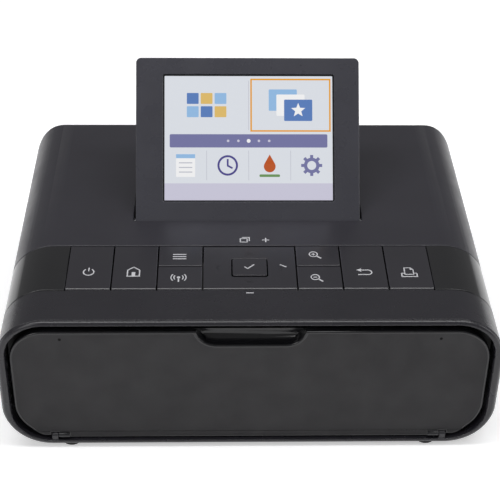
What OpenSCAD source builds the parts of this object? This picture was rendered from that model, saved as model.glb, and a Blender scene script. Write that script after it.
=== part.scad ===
/* [Body] */
// Width of the case over both sides
body_w = 180.6; // [176:0.1:190]
// Depth of the case from the front bead to the rear cover
body_d = 135.9; // [134:0.1:146]
// Height of the top face above the table at the front bead
top_front_h = 58.6; // [58:0.1:62]
// Rise of the top face from front to rear
top_rise = 4.2; // [3.5:0.1:6]
// Radius of the four long edges, seen from the front
edge_r = 17.3; // [15:0.1:18]
// Height of the case underside above the table
foot_h = 1.2; // [1:0.1:3]
// Wall of the case shells
wall = 2.0; // [1.6:0.1:2.4]
// Height of the joint between upper and lower shells
split_h = 39; // [37:0.5:40]
// Open seam between two fixed shells
seam = 0.2; // [0.1:0.05:0.3]
// Radius of the edge between top face and rear face
rear_edge_r = 4.5; // [3:0.1:5]

/* [Front frame and door] */
// Depth of the front frame, with its strip on the top
frame_d = 18.3; // [17:0.1:20]
// Lip of the front frame round the door opening
lip_t = 3.0; // [2.4:0.1:3.4]
// Lip above the door opening
lip_top_t = 1.6; // [1.5:0.1:2.4]
// Lip below the door opening
lip_low_t = 2.0; // [1.8:0.1:2.6]
// Radius of the bead along the front edge
bead_r = 1.5; // [1.2:0.1:1.8]
// Thickness of the front door
door_t = 2.5; // [2.2:0.1:3]
// Set-back of the door face from the front edge
door_y = 1.5; // [1:0.1:2]
// Gap between the door and the frame lip at the sides
door_gap = 1.2; // [0.8:0.1:1.5]
// Gap between the door and the frame lip at the bottom
door_gap_low = 0.7; // [0.5:0.1:1.2]
// Gap between the door and the frame lip at the top
door_gap_top = 3.6; // [3:0.1:4]
// Width of the finger notch at its top
notch_w = 39.2; // [36:0.1:44]
// Width of the finger notch at its floor
notch_floor_w = 24.4; // [20:0.1:28]
// Depth of the finger notch below the door's upper edge
notch_h = 6.1; // [5:0.1:7]
// Radius of the door's hinge pins
door_pin_r = 0.6; // [0.5:0.05:0.7]
// Radius of the knuckles round the door's hinge pins
door_knuckle_r = 1.0; // [0.9:0.05:1.2]
// How much larger the door's lower corners are, so that they swing clear of the frame
door_swing_r = 2.4; // [2:0.1:4]

/* [Keys] */
// Depth of the gloss band that holds the keys
band_d = 26.7; // [26:0.1:28]
// Distance from the outermost keys to the side of the case
key_end_room = 23.45; // [22:0.05:24]
// Half width of the navigation pad
nav_half_w = 17.2; // [17:0.1:18]
// Gap between neighbouring keys
key_gap = 0.5; // [0.4:0.05:0.6]
// Thickness of a key cap
key_t = 2.6; // [2.4:0.1:3]
// Radius of the rounded front edge of a key
key_nose_r = 1.8; // [1.2:0.1:2]
// Travel of a key
key_travel = 0.45; // [0.3:0.05:0.5]
// Width of the OK key
ok_w = 12.6; // [11:0.1:13]
// Depth of the OK key
ok_d = 10.2; // [9:0.1:11]
// Diameter of a key's stem
stem_d = 3.0; // [2.4:0.1:3.2]
// Depth of the gap between the split keys, from the front of the band
key_split_y = 14.0; // [13:0.1:15]

/* [Display] */
// Width of the display unit
lcd_w = 86.8; // [80:0.1:88]
// Length of the display unit from its hinge axis to its free edge
lcd_len = 63.7; // [60:0.1:63.8]
// Thickness of the display unit
lcd_t = 7.5; // [7:0.1:8]
// Angle at which the display stands up from the top face
lcd_raise = 50.5; // [30:0.5:60]
// Distance from the folded display's free edge to the rear of the case
lcd_rear_room = 8.4; // [7:0.1:9]
// Radius of the display's rounded hinge edge
lcd_edge_r = 2.0; // [1.8:0.1:2.4]
// Radius of the display's hinge pins
lcd_pin_r = 1.0; // [0.8:0.05:1.1]
// Width of the display's window
window_w = 66.6; // [60:0.1:68]
// Height of the display's window
window_h = 49.8; // [45:0.1:50]
// Distance from the hinge axis to the window
window_v = 7.5; // [7:0.1:9]
// Gap round the closed display in its recess
lcd_gap = 0.8; // [0.5:0.1:1]

/* [Ink door] */
// Distance from the ink door to the rear of the case
ink_door_rear = 10.9; // [10:0.1:12]
// Length of the ink door
ink_door_len = 52; // [48:0.5:54]
// Height of the ink door's lower edge
ink_door_z0 = 12; // [11:0.5:16]
// Height of the ink door's upper edge
ink_door_z1 = 50; // [47:0.5:51]
// Radius of the ink door's hinge pins
ink_pin_r = 0.5; // [0.4:0.05:0.55]

/* [Mechanism] */
// Distance from each side plate's middle to the side of the case
side_bay = 28.3; // [27:0.1:29]
// Distance from the feed roller's axis to the rear of the case
feed_rear = 65.9; // [65:0.1:67]
// Thickness of a side plate
plate_t = 1.2; // [1:0.1:1.4]
// Radius of the rubber feed roller
feed_r = 4.5; // [4:0.1:4.8]
// Radius of the pinch roller
pinch_r = 3.0; // [2.6:0.1:3.2]
// Radius of the pickup rollers
pickup_r = 6.0; // [5.5:0.1:6.4]
// Radius of the platen roller
platen_r = 6.0; // [5.5:0.1:6.2]
// Radius of the roller shafts
shaft_r = 1.5; // [1.2:0.1:1.8]
// Running clearance round a shaft
run = 0.05; // [0.03:0.01:0.08]
// Gear module of both gear trains
gear_m = 0.6; // [0.55:0.01:0.62]
// Width of the gears
gear_w = 3.0; // [2:0.1:3.2]
// Outer radius of the ink cassette's two lobes
lobe_r = 6.8; // [6.4:0.1:7]
// Wall of the ink cassette
lobe_wall = 0.9; // [0.8:0.1:1.2]
// Radius of the ribbon wound on the supply spool
supply_r = 5.2; // [4.4:0.1:5.4]
// Radius of the ribbon wound on the take-up spool
take_up_r = 4.0; // [3.4:0.1:5.2]
// Distance from the ribbon's edge to a side plate's middle
ribbon_room = 10; // [9:0.5:12]

/* [Hidden] */
$fn = 48;
tiny = 0.01;

// The case outline, seen from the front
half_w = body_w / 2;
tilt = atan(top_rise / body_d);
in_half_w = half_w - wall;
round_proud = 0.05;
plate_x = half_w - side_bay;
ribbon_w = 2 * (plate_x - ribbon_room);
inner_low_z = foot_h + wall;

// The front frame and the door in it
open_half_w = half_w - lip_t;
open_r = edge_r - lip_t;
open_low_z = foot_h + lip_low_t;
open_top_z = top_front_h - lip_top_t;
door_half_w = open_half_w - door_gap;
door_low_z = open_low_z + door_gap_low;
door_top_z = open_top_z - door_gap_top;
door_r = open_r - door_gap;
door_low_r = door_r + door_swing_r;
door_pin_y = door_y;
door_pin_z = door_low_z + door_knuckle_r;
door_pin_x = door_half_w - door_low_r;
knuckle_w = 4;
lug_w = 2.4;
lug_gap = 0.3;
notch_pocket_h = 4.4;
notch_lip_t = 0.8;
mouth_y = door_y + notch_pocket_h + notch_lip_t + 0.7;
mouth_t = 2.0;
mouth_half_w = plate_x - 6;
mouth_z0 = inner_low_z + 3.8;
mouth_z1 = 30;

// The gloss band and its keys; u runs across, v along the top face, w up from it
band_y = frame_d;
band_end = band_y + band_d;
key_v0 = band_y / cos(tilt) + seam;
key_v1 = band_end / cos(tilt) - seam;
key_len = key_v1 - key_v0;
key_field_half_w = half_w - key_end_room;
key_pitch = (key_field_half_w - nav_half_w) / 3;
key_split_v = key_v0 + key_split_y;
tray_w = key_t + 1.6;
tray_t = 1.6;
tray_gap = 0.3;
stem_len = 3.6;
switch_gap = 0.15;
switch_h = 1.6;
switch_w = 4.4;
board_t = 1.2;
key_board_w = key_t + stem_len + switch_gap + key_travel + switch_h;
nav_mid_v = (key_v0 + key_v1) / 2;
pivot_w = tray_w + 1.0;
pivot_ring_r = 4.4;
pivot_bore_r = 2.5;
pivot_pin_r = 0.8;
pivot_reach = 9.8;
nav_stem_u = 13;
nav_stem_v = 9.6;
nav_tilt = 2;

// The display in its recess; s runs along the panel, n out of its face
recess_half_w = lcd_w / 2 + lcd_gap;
lcd_hinge_y = body_d - lcd_rear_room - lcd_len;
hinge_v = lcd_hinge_y / cos(tilt);
recess_v0 = hinge_v - lcd_edge_r - 0.3;
recess_v1 = hinge_v + lcd_len + 0.45;
recess_d = lcd_t + 1.1;
recess_r = 1.0;
bezel_t = 2.2;
window_depth = 0.9;
module_t = 3.4;
lcd_corner_r = 2.0;
lcd_wall = 1.2;

// The ink door and the opening behind it
ink_knuckle_r = 1.2;
ink_axis_x = half_w - ink_knuckle_r - round_proud;
ink_end_y = body_d - ink_door_rear;
ink_door_y = ink_end_y - ink_door_len;
ink_axis_y = ink_door_y + ink_knuckle_r;
ink_gap = 0.35;
ink_lug_h = 4;
ink_lug_z = [edge_r + foot_h + 1.5, split_h - ink_lug_h - 0.5];

// The roller train
feed_y = body_d - feed_rear;
feed_z = 27.5;
feed_teeth = 44;
pickup_teeth = 20;
pinion_teeth = 12;
take_up_teeth = 40;
function gear_pitch_r(teeth) = gear_m * teeth / 2;
mesh_slack = 0.12;
feed_mesh = gear_pitch_r(feed_teeth + pinion_teeth) + mesh_slack;
pickup_mesh = gear_pitch_r(feed_teeth + pickup_teeth) + mesh_slack;
take_up_mesh = gear_pitch_r(take_up_teeth + pinion_teeth) + mesh_slack;
motor_angle = -45;
motor_y = feed_y + feed_mesh * cos(motor_angle);
motor_z = feed_z + feed_mesh * sin(motor_angle);
pickup_angle = 163;
pickup_y = feed_y + pickup_mesh * cos(pickup_angle);
pickup_z = feed_z + pickup_mesh * sin(pickup_angle);
paper_gap = 0.3;
pinch_z = feed_z + feed_r + pinch_r + paper_gap;
paper_z = feed_z + feed_r + paper_gap / 2;
platen_y = feed_y + 24;
platen_z = paper_z - platen_r;
plate_in_x = plate_x - plate_t / 2;
plate_out_x = plate_x + plate_t / 2;
bush_r = 3.2;
bush_t = 3.0;
bush_flange_r = 4.2;
feed_gear_x = plate_out_x + 1.6;

// The ink cassette and what turns in it
take_up_y = feed_y + 10.5;
supply_y = feed_y + 38;
lobe_z = 41;
spool_r = 2.6;
ribbon_t = 0.3;
ribbon_z = paper_z + 0.4;
ink_half_w = ribbon_w / 2 + 2;
take_up_gear_x = plate_out_x + 6.6;
ribbon_motor_angle = -45;
ribbon_pin_y = take_up_y + take_up_mesh * cos(ribbon_motor_angle);
ribbon_pin_z = lobe_z + take_up_mesh * sin(ribbon_motor_angle);
head_y = platen_y;
head_t = 9;
carrier_y = feed_y + 54;
carrier_z = 44.5;
carrier_t = 1.0;
carrier_low = lobe_z + lobe_r + 1.4;
head_low = ribbon_z + ribbon_t + 2.2;

// Screws, their posts and the finger bite behind the display
screw_x = half_w - 15.3;
screw_front_y = 24;
screw_rear_y = body_d - 6.9;
screw_r = 1.2;
screw_head_r = 2.6;
screw_head_t = 1.6;
screw_seat_z = 12;
screw_len = 18;
rear_top_z = top_front_h + (body_d - rear_edge_r) * tan(tilt);
rear_y = body_d - 2.4;
recess_floor = 1.4;
finger_r = 12;
finger_reach = 3;
finger_d = 4;
lcd_pin_len = 1.6;

// Middle of each key, as [u, v]
function column_u(index) = -key_field_half_w + key_pitch * (index + 0.5);
key_u = [column_u(0), column_u(1), column_u(2), -column_u(2), -column_u(1), -column_u(0)];
front_half_v = (key_v0 + key_split_v) / 2;
rear_half_v = (key_split_v + key_v1) / 2;
key_places = [[key_u[0], nav_mid_v], [key_u[1], nav_mid_v], [key_u[2], front_half_v],
  [key_u[2], rear_half_v], [key_u[3], front_half_v], [key_u[3], rear_half_v],
  [key_u[4], nav_mid_v], [key_u[5], nav_mid_v]];
nav_places = [[nav_stem_u, nav_mid_v], [-nav_stem_u, nav_mid_v], [0, nav_mid_v + nav_stem_v],
  [0, nav_mid_v - nav_stem_v]];

// Rear openings, feet and sockets
outlet_half_w = plate_x - 8;
outlet_z0 = paper_z - 2;
outlet_z1 = paper_z + 4;
vent_x = 20;
vent_z = 10;
inlet_x = 12 - plate_x;
inlet_z = 15;
inlet_r = 3.6;
battery_x = -18;
battery_w = 44;
battery_z0 = 9.5;
battery_h = 14;
foot_x = half_w - 24;
foot_r = 3.8;
foot_front_y = 4.6;
foot_rear_y = body_d - 14.9;
socket_gap = 0.2;
card_y = feed_y - 24;
card_w = 24;
card_z = 22;
card_h = 3.4;
usb_y = card_y + 4;
usb_w = 14;
usb_z = 29;
usb_h = 7;
socket_len = 20;

// Side plates, stays, bushes and motors
plate_y0 = feed_y - 36;
plate_y1 = carrier_y + 4;
plate_top_z = 48;
plate_high_z = 53;
guide_end_y = feed_y - 6;
stay_r = 2.2;
stay_end_r = 1.5;
stay_places = [[plate_y0 + 4, 44], [supply_y + 4, 16]];
bush_places = [[feed_y, feed_z], [platen_y, platen_z], [pickup_y, pickup_z]];
pinch_shaft_r = 1.2;
motor_r = 9.5;
motor_len = 18;
motor_boss_r = 3;
motor_shaft_r = 0.8;
drive_hub_r = 2.8;
bracket_x = half_w - 16.4;
bracket_t = 1.2;
ribbon_motor_r = 8;
ribbon_motor_len = 12;
bridge_t = 4;

// Boards
main_half_w = plate_x - 6;
main_y1 = rear_y - 2.5;
main_y0 = main_y1 - 33;
main_z = 6;
main_t = 1.6;

// Ink cassette
ink_grip_x = half_w - 6.3;
bridge_w = 3;
lobe_end_t = 1.2;
journal_r = 1.6;
notch_pocket_top = door_top_z - 1.8;

// Display, rollers and lever
window_u = 0.35;
nav_slack = 0.4;
roller_half_w = plate_x - 2.2;
shaft_right_x = plate_out_x + 1.2;
head_half_w = ribbon_w / 2 - 2;
arm_x = plate_x - 5;
arm_t = 2;
lever_x = ink_grip_x + 0.5;
lever_t = 1.6;
lever_y = carrier_y - 3.5;

// Moves its children into the frame whose origin is under the middle of the case
module placed() { translate([0, -body_d / 2, 0]) children(); }
// Lays its children on the sloping top face: X across, Y along the slope, Z out of it
module on_top() { translate([0, 0, top_front_h]) rotate([tilt, 0, 0]) children(); }
// Turns a drawing of the XZ plane into a solid that runs from y0 to y1
module along_y(y0, y1) {
  translate([0, y1, 0]) rotate([90, 0, 0]) linear_extrude(y1 - y0) children();
}
// Turns a drawing of the YZ plane into a solid that runs from x0 to x1
module along_x(x0, x1) {
  translate([x0, 0, 0]) rotate([90, 0, 90]) linear_extrude(x1 - x0) children();
}
// Cylinder along X between x0 and x1 at (y, z)
module rod_x(x0, x1, y, z, r) { translate([x0, y, z]) rotate([0, 90, 0]) cylinder(h = x1 - x0, r = r); }
// Cylinder along Y between y0 and y1 at (x, z)
module rod_y(y0, y1, x, z, r) { translate([x, y0, z]) rotate([-90, 0, 0]) cylinder(h = y1 - y0, r = r); }
// Block between two corners
module block(a, b) { translate(a) cube([b[0] - a[0], b[1] - a[1], b[2] - a[2]]); }
// Rounded rectangle between two corners, with true arcs
module rounded(x0, y0, x1, y1, r) {
  translate([x0 + r, y0]) square([x1 - x0 - 2 * r, y1 - y0]);
  translate([x0, y0 + r]) square([x1 - x0, y1 - y0 - 2 * r]);
  for (x = [x0 + r, x1 - r], y = [y0 + r, y1 - r]) translate([x, y]) circle(r);
}
// Keeps what lies between two distances from the front edge and between two heights
module slab(y0, y1, z0, z1) {
  intersection() {
    children();
    block([-body_w, y0, z0], [body_w, y1, z1]);
  }
}
// Solid of the upper case, drawn in from its outer face by inset
module upper_form(inset) {
  on_top() along_y(-20, body_d + 20)
    rounded(inset - half_w, -top_front_h, half_w - inset, -inset, edge_r - inset);
}
// Solid of the lower case, drawn in from its outer face by inset
module lower_form(inset) {
  along_y(-20, body_d + 20)
    rounded(inset - half_w, foot_h + inset, half_w - inset, top_front_h - inset, edge_r - inset);
}
// Solid between two distances from the front, closed all round, drawn in by inset
module case_form(inset, y0, y1) {
  slab(y0, y1, split_h, body_w) upper_form(inset);
  slab(y0, y1, 0, split_h + tiny) lower_form(inset);
}
// Round edge that runs round the case outline at one distance from the front, a hair inside it
module rim(y, r, z0, z1) {
  mid_x = half_w - edge_r;
  out_r = edge_r - round_proud;
  for (side = [-1, 1]) translate([side * (mid_x + out_r - r), y, z0 + edge_r])
    cylinder(h = z1 - z0 - 2 * edge_r, r = r);
  for (side = [-1, 1]) rod_x(-mid_x, mid_x, y, (z0 + z1) / 2 + side * ((z1 - z0) / 2 - round_proud - r), r);
  for (corner = [[1, 1, 0], [-1, 1, 90], [-1, -1, 180], [1, -1, 270]])
    translate([corner[0] * mid_x, y, corner[1] > 0 ? z1 - edge_r : z0 + edge_r])
      rotate([90, 0, 0]) rotate([0, 0, corner[2]])
        rotate_extrude(angle = 90) translate([out_r - r, 0]) circle(r);
}

// Outline of the door opening, widened or narrowed by grow
module opening_outline(grow) {
  rounded(-open_half_w - grow, open_low_z - grow, open_half_w + grow, open_top_z + grow, open_r + grow);
}

// Ring at the front of the case with the strip behind it and the door's hinge lugs
module front_frame() {
  color([0.20, 0.20, 0.22]) {
    difference() {
      union() {
        case_form(0, bead_r, frame_d);
        rim(bead_r, bead_r, foot_h, top_front_h);
      }
      along_y(-1, frame_d + 1) opening_outline(0);
    }
    for (side = [-1, 1]) door_lug(side * (door_pin_x + lug_gap + lug_w / 2));
  }
}
// Lug that holds one hinge pin of the front door
module door_lug(x) {
  difference() {
    union() {
      rod_x(x - lug_w / 2, x + lug_w / 2, door_pin_y, door_pin_z, door_knuckle_r);
      block([x - lug_w / 2, door_pin_y - door_knuckle_r, open_low_z - 0.5],
        [x + lug_w / 2, door_pin_y + door_knuckle_r, door_pin_z]);
    }
    rod_x(x - lug_w, x + lug_w, door_pin_y, door_pin_z, door_pin_r + run);
  }
}

// Gloss band over the top and down both sides, with the tray that carries the keys
module control_band() {
  color([0.07, 0.07, 0.08]) {
    difference() {
      slab(band_y + seam, band_end, split_h, body_w) difference() {
        upper_form(0);
        upper_form(wall);
      }
      on_top() block([-key_field_half_w, 0, -2 * wall], [key_field_half_w, band_end + 5, 5]);
    }
    difference() {
      union() {
        on_top() block([-key_field_half_w - wall, key_v0 + tray_gap, -tray_w - tray_t],
          [key_field_half_w + wall, key_v1 - tray_gap, -tray_w]);
        for (side = [-1, 1]) on_top() block([side > 0 ? key_field_half_w : -key_field_half_w - wall,
          key_v0 + tray_gap, -tray_w - tray_t], [side > 0 ? key_field_half_w + wall : -key_field_half_w,
          key_v1 - tray_gap, -wall / 2]);
        for (side = [-1, 1]) on_top()
          block([side * 8.8 - 1.4, nav_mid_v - 1.8, -pivot_w - 1.4],
            [side * 8.8 + 1.4, nav_mid_v + 1.8, -tray_w + 0.6]);
        for (u = [-key_pitch - nav_half_w, key_pitch + nav_half_w]) on_top()
          translate([u, key_v0 + 4, -key_board_w + seam]) cylinder(h = key_board_w - tray_w - seam, r = 2);
        for (side = [-1, 1]) screw_post(side * screw_x, screw_front_y, top_front_h - wall + 0.8);
      }
      for (place = key_places) on_top() translate([place[0], place[1], -tray_w - 2 * tray_t])
        cylinder(h = 4 * tray_t, d = stem_d + 1);
      for (place = nav_places) on_top() translate([place[0], place[1], -tray_w - 2 * tray_t])
        cylinder(h = 4 * tray_t, d = stem_d + 1.4);
      on_top() block([-7.2, nav_mid_v - 8.2, -tray_w - 2 * tray_t], [7.2, nav_mid_v + 8.2, -tray_w + 2]);
      on_top() rod_x(-pivot_reach - 0.2, pivot_reach + 0.2, nav_mid_v, -pivot_w, pivot_pin_r + run);
    }
  }
}
// Post inside the case, bored for a screw from below
module screw_post(x, y, top) {
  difference() {
    translate([x, y, screw_seat_z]) cylinder(h = top - screw_seat_z, r = 3.2);
    translate([x, y, screw_seat_z - 1]) cylinder(h = 16, r = screw_r + run);
  }
}

// What lies in front of the rear face, seen from the side, with its rounded upper edge
module rear_side() {
  along_x(-body_w, body_w) {
    translate([-body_d, -body_d]) square([2 * body_d - rear_edge_r, 3 * body_d]);
    translate([-body_d, -body_d]) square([2 * body_d, body_d + rear_top_z - rear_edge_r]);
    translate([body_d - rear_edge_r, rear_top_z - rear_edge_r]) circle(rear_edge_r + round_proud);
  }
}
// What lies in front of the rear face, seen from above, with its two rounded upright edges
module rear_plan() {
  linear_extrude(body_w) rounded(-half_w - round_proud, -body_d, half_w + round_proud, body_d, rear_edge_r);
}

// Shell behind the keys, with the recess that the display folds into
module top_cover() {
  color([0.23, 0.225, 0.25]) difference() {
    union() {
      difference() {
        slab(band_end + seam, body_d, split_h, body_w) intersection() {
          upper_form(0);
          rear_side();
          rear_plan();
        }
        slab(band_end - 1, body_d - wall, split_h - 1, body_w) upper_form(wall);
      }
      slab(band_end + seam, body_d, split_h, body_w)
        on_top() translate([0, 0, -recess_d - recess_floor])
          linear_extrude(recess_d + recess_floor - wall / 2)
            rounded(-recess_half_w - wall, recess_v0 - wall, recess_half_w + wall,
              recess_v1 + wall, recess_r + wall);
      for (side = [-1, 1]) screw_post(side * screw_x, screw_rear_y, rear_top_z - wall);
    }
    on_top() translate([0, 0, -recess_d]) linear_extrude(recess_d + 5)
      rounded(-recess_half_w, recess_v0, recess_half_w, recess_v1, recess_r);
    on_top() translate([0, recess_v1 + finger_reach - finger_r, -finger_d]) cylinder(h = finger_d + 5, r = finger_r);
    on_top() rod_x(-recess_half_w - lcd_pin_len, recess_half_w + lcd_pin_len, hinge_v, -lcd_edge_r,
      lcd_pin_r + run);
    ink_opening();
  }
}
// What the ink door's opening takes out of the shells
module ink_opening() {
  block([half_w - edge_r, ink_door_y - ink_gap, ink_door_z0 - ink_gap],
    [half_w + 5, ink_end_y + ink_gap, ink_door_z1 + ink_gap]);
}

// Tub under the case, open at the front and at the rear
module lower_case() {
  color([0.20, 0.20, 0.22]) {
    difference() {
      union() {
        slab(frame_d + seam, rear_y - seam, 0, split_h - seam) difference() {
          lower_form(0);
          lower_form(wall);
        }
        for (side = [-1, 1], y = [screw_front_y, screw_rear_y])
          translate([side * screw_x, y, foot_h + wall / 2]) cylinder(h = screw_seat_z - seam - foot_h - wall / 2, r = 4.2);
      }
      for (side = [-1, 1], y = [screw_front_y, screw_rear_y]) translate([side * screw_x, y, 0]) {
        cylinder(h = 20, r = screw_r + 0.3);
        cylinder(h = foot_h + screw_head_t + 1, r = screw_head_r + 0.4);
      }
      ink_opening();
      for (row = [0:4]) block([-40, 52 + 8 * row, 0], [-10, 55 + 8 * row, 3 * wall]);
      card_mouth();
      usb_mouth();
    }
    ink_lugs();
  }
}
// Lugs at the front of the ink door's opening that take its hinge pins
module ink_lugs() {
  for (z = ink_lug_z) difference() {
    union() {
      translate([ink_axis_x, ink_axis_y, z]) cylinder(h = ink_lug_h, r = ink_knuckle_r);
      block([half_w - wall, ink_door_y - 1, z], [half_w - 3 * seam, ink_axis_y, z + ink_lug_h]);
    }
    translate([ink_axis_x, ink_axis_y, z - 1]) cylinder(h = ink_lug_h + 2, r = ink_pin_r + run);
  }
}

// Plate that closes the rear below the split, with vents and the paper outlet
module rear_cover() {
  color([0.20, 0.20, 0.22]) difference() {
    slab(rear_y, body_d, 0, split_h - seam) intersection() {
      lower_form(0);
      rear_plan();
    }
    block([-outlet_half_w, rear_y - 1, outlet_z0], [outlet_half_w, body_d + 1, outlet_z1]);
    for (row = [0:3], col = [0:9]) block([vent_x + col * 5, rear_y - 1, vent_z + row * 4],
      [vent_x + col * 5 + 3.4, body_d + 1, vent_z + row * 4 + 1.6]);
    rod_y(rear_y - 1, body_d + 1, inlet_x, inlet_z, inlet_r + 0.4);
    block([battery_x - battery_w / 2 + 1, rear_y - 1, battery_z0 + 1],
      [battery_x + battery_w / 2 - 1, body_d + 1, battery_z0 + battery_h - 1]);
  }
}

// Four pads that the printer stands on
module rubber_feet() {
  color([0.08, 0.08, 0.08]) for (x = [-foot_x, foot_x], y = [foot_front_y, foot_rear_y])
    translate([x, y, 0]) rotate_extrude() {
      square([foot_r - 0.4, foot_h]);
      translate([0, 0.4]) square([foot_r, foot_h - 0.4]);
    }
}

// Panel behind the front door with the mouth for the paper cassette
module mouth_frame() {
  color([0.12, 0.12, 0.13]) difference() {
    along_y(mouth_y, mouth_y + mouth_t) opening_outline(-0.3);
    block([-mouth_half_w, mouth_y - 1, mouth_z0], [mouth_half_w, mouth_y + mouth_t + 1, mouth_z1]);
  }
}

// Floor and rails that the paper cassette slides along
module cassette_guide() {
  color([0.16, 0.16, 0.17]) {
    block([-mouth_half_w - 1.6, mouth_y + mouth_t + seam, mouth_z0 - 1.6],
      [mouth_half_w + 1.6, guide_end_y, mouth_z0 - seam]);
    for (side = [-1, 1]) block([side > 0 ? mouth_half_w : -mouth_half_w - 1.6, mouth_y + mouth_t + seam,
      mouth_z0 - 1], [side > 0 ? mouth_half_w + 1.6 : -mouth_half_w, guide_end_y, mouth_z1 - 2]);
    for (x = [-40, 0, 40]) block([x - 1, frame_d + 4, inner_low_z + seam], [x + 1, guide_end_y, mouth_z0 - 1]);
  }
}

// Outline of a side plate in the YZ plane, with the seats of its bushes
module plate_outline() {
  difference() {
    union() {
      rounded(plate_y0, inner_low_z + seam, plate_y1, plate_top_z, 3);
      rounded(take_up_y - 12, inner_low_z + seam, plate_y1, plate_high_z, 3);
    }
    for (seat = bush_places) translate(seat) circle(bush_r + 0.02);
    translate([carrier_y, carrier_z]) circle(shaft_r + run);
    translate([feed_y, pinch_z]) circle(pinch_shaft_r + 0.4);
    for (stay = stay_places) translate(stay) circle(stay_end_r + 0.02);
  }
}
// Left plate of the print engine, which carries both drives
module left_side_plate() {
  color([0.62, 0.63, 0.66]) difference() {
    along_x(-plate_out_x, -plate_in_x) plate_outline();
    rod_x(-plate_out_x - 1, 0, motor_y, motor_z, motor_boss_r + 0.2);
    rod_x(-plate_out_x - 1, 0, take_up_y, lobe_z, drive_hub_r + run);
  }
}
// Right plate of the print engine, with the window that the ink cassette passes
module right_side_plate() {
  color([0.62, 0.63, 0.66]) difference() {
    along_x(plate_in_x, plate_out_x) plate_outline();
    for (y = [take_up_y, supply_y]) rod_x(0, plate_out_x + 1, y, lobe_z, lobe_r + 0.6);
    block([0, take_up_y, lobe_z - 2.6], [plate_out_x + 1, supply_y, lobe_z + bridge_t + 0.6]);
    rod_x(0, plate_out_x + 1, lever_y, lobe_z, shaft_r + run);
  }
}

// Rods that hold the two side plates apart
module frame_stays() {
  color([0.7, 0.7, 0.72]) for (stay = stay_places) {
    rod_x(-plate_in_x, plate_in_x, stay[0], stay[1], stay_r);
    rod_x(-plate_out_x - 0.6, plate_out_x + 0.6, stay[0], stay[1], stay_end_r);
  }
}

// Plates under the paper path, before and behind the platen
module paper_guide() {
  color([0.14, 0.14, 0.15]) {
    block([-plate_in_x + seam, feed_y + feed_r + 2, paper_z - 1.8],
      [plate_in_x - seam, platen_y - platen_r - 1, paper_z - 0.8]);
    block([-plate_in_x + seam, platen_y + platen_r + 1.5, paper_z - 1.8],
      [plate_in_x - seam, plate_y1, paper_z - 0.8]);
    block([-outlet_half_w + 0.5, plate_y1 - seam, paper_z - 1.8],
      [outlet_half_w - 0.5, rear_y - seam, paper_z - 0.8]);
  }
}

// Bearings of the feed, platen and pickup shafts in both side plates
module roller_bushes() {
  color([0.85, 0.82, 0.7]) for (seat = bush_places, side = [-1, 1]) difference() {
    union() {
      rod_x(side * plate_x - plate_t / 2 - 0.6, side * plate_x + plate_t / 2 + 0.6, seat[0], seat[1], bush_r);
      rod_x(side > 0 ? plate_in_x - 0.8 : -plate_in_x, side > 0 ? plate_in_x : -plate_in_x + 0.8,
        seat[0], seat[1], bush_flange_r);
    }
    rod_x(-body_w, body_w, seat[0], seat[1], shaft_r + run);
  }
}

// Motor that turns the feed train
module feed_motor() {
  color([0.55, 0.56, 0.58]) difference() {
    union() {
      rod_x(-plate_in_x + 0.02, -plate_in_x + motor_len, motor_y, motor_z, motor_r);
      rod_x(-plate_out_x - 0.2, -plate_in_x + 1, motor_y, motor_z, motor_boss_r);
      rod_x(-plate_in_x + motor_len - 0.1, -plate_in_x + motor_len + 1.4, motor_y, motor_z, 3);
    }
    rod_x(-plate_out_x - 1, -plate_in_x + 8, motor_y, motor_z, motor_shaft_r + run);
  }
}
// Motor that winds the ribbon
module ribbon_motor() {
  color([0.55, 0.56, 0.58]) difference() {
    union() {
      rod_x(-bracket_x - ribbon_motor_len, -bracket_x - 0.02, ribbon_pin_y, ribbon_pin_z, ribbon_motor_r);
      rod_x(-bracket_x - 1, -bracket_x + bracket_t, ribbon_pin_y, ribbon_pin_z, 2.2);
    }
    rod_x(-bracket_x - 8, -bracket_x + 5, ribbon_pin_y, ribbon_pin_z, motor_shaft_r + run);
  }
}
// Bracket that holds the ribbon motor off the left side plate
module motor_bracket() {
  color([0.62, 0.63, 0.66]) {
    difference() {
      along_x(-bracket_x, -bracket_x + bracket_t)
        rounded(ribbon_pin_y - 9.5, ribbon_pin_z - 14, ribbon_pin_y + 9.5, ribbon_pin_z + 10.5, 2);
      rod_x(-bracket_x - 1, -bracket_x + 5, ribbon_pin_y, ribbon_pin_z, 2.4);
    }
    for (post = [[6.5, 8], [1, -12]])
      rod_x(-bracket_x + bracket_t / 2, -plate_out_x - 0.02, ribbon_pin_y + post[0], ribbon_pin_z + post[1], 1.8);
  }
}

// Main circuit board, on the floor behind the rollers
module main_board() {
  color([0.10, 0.32, 0.20]) difference() {
    block([-main_half_w, main_y0, main_z], [main_half_w, main_y1, main_z + main_t]);
    for (x = [-1, 1] * (main_half_w - 4), y = [main_y0 + 4, main_y1 - 4]) translate([x, y, 0])
      cylinder(h = 20, r = 1.6);
  }
}
// Chips, capacitors and plugs on the main board, and the spacers under it
module board_parts() {
  color([0.12, 0.12, 0.13]) {
    for (x = [-44, -16, 10]) block([x, main_y0 + 6, main_z + main_t], [x + 12, main_y0 + 18, main_z + main_t + 1.4]);
    for (x = [-38, -30, 30, 38, 46]) translate([x, main_y0 + 26, main_z + main_t]) cylinder(h = 6, r = 2.4);
    for (x = [26, 42]) block([x, main_y0 + 2, main_z + main_t], [x + 10, main_y0 + 6, main_z + main_t + 3]);
    for (x = [-1, 1] * (main_half_w - 4), y = [main_y0 + 4, main_y1 - 4]) translate([x, y, inner_low_z + seam])
      cylinder(h = main_z - inner_low_z - seam, r = 2.4);
  }
}

// Board under the keys
module key_board() {
  color([0.10, 0.32, 0.20]) on_top()
    block([-key_field_half_w - 1, key_v0 + 1, -key_board_w - board_t], [key_field_half_w + 1, key_v1 - 1, -key_board_w]);
}
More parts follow.
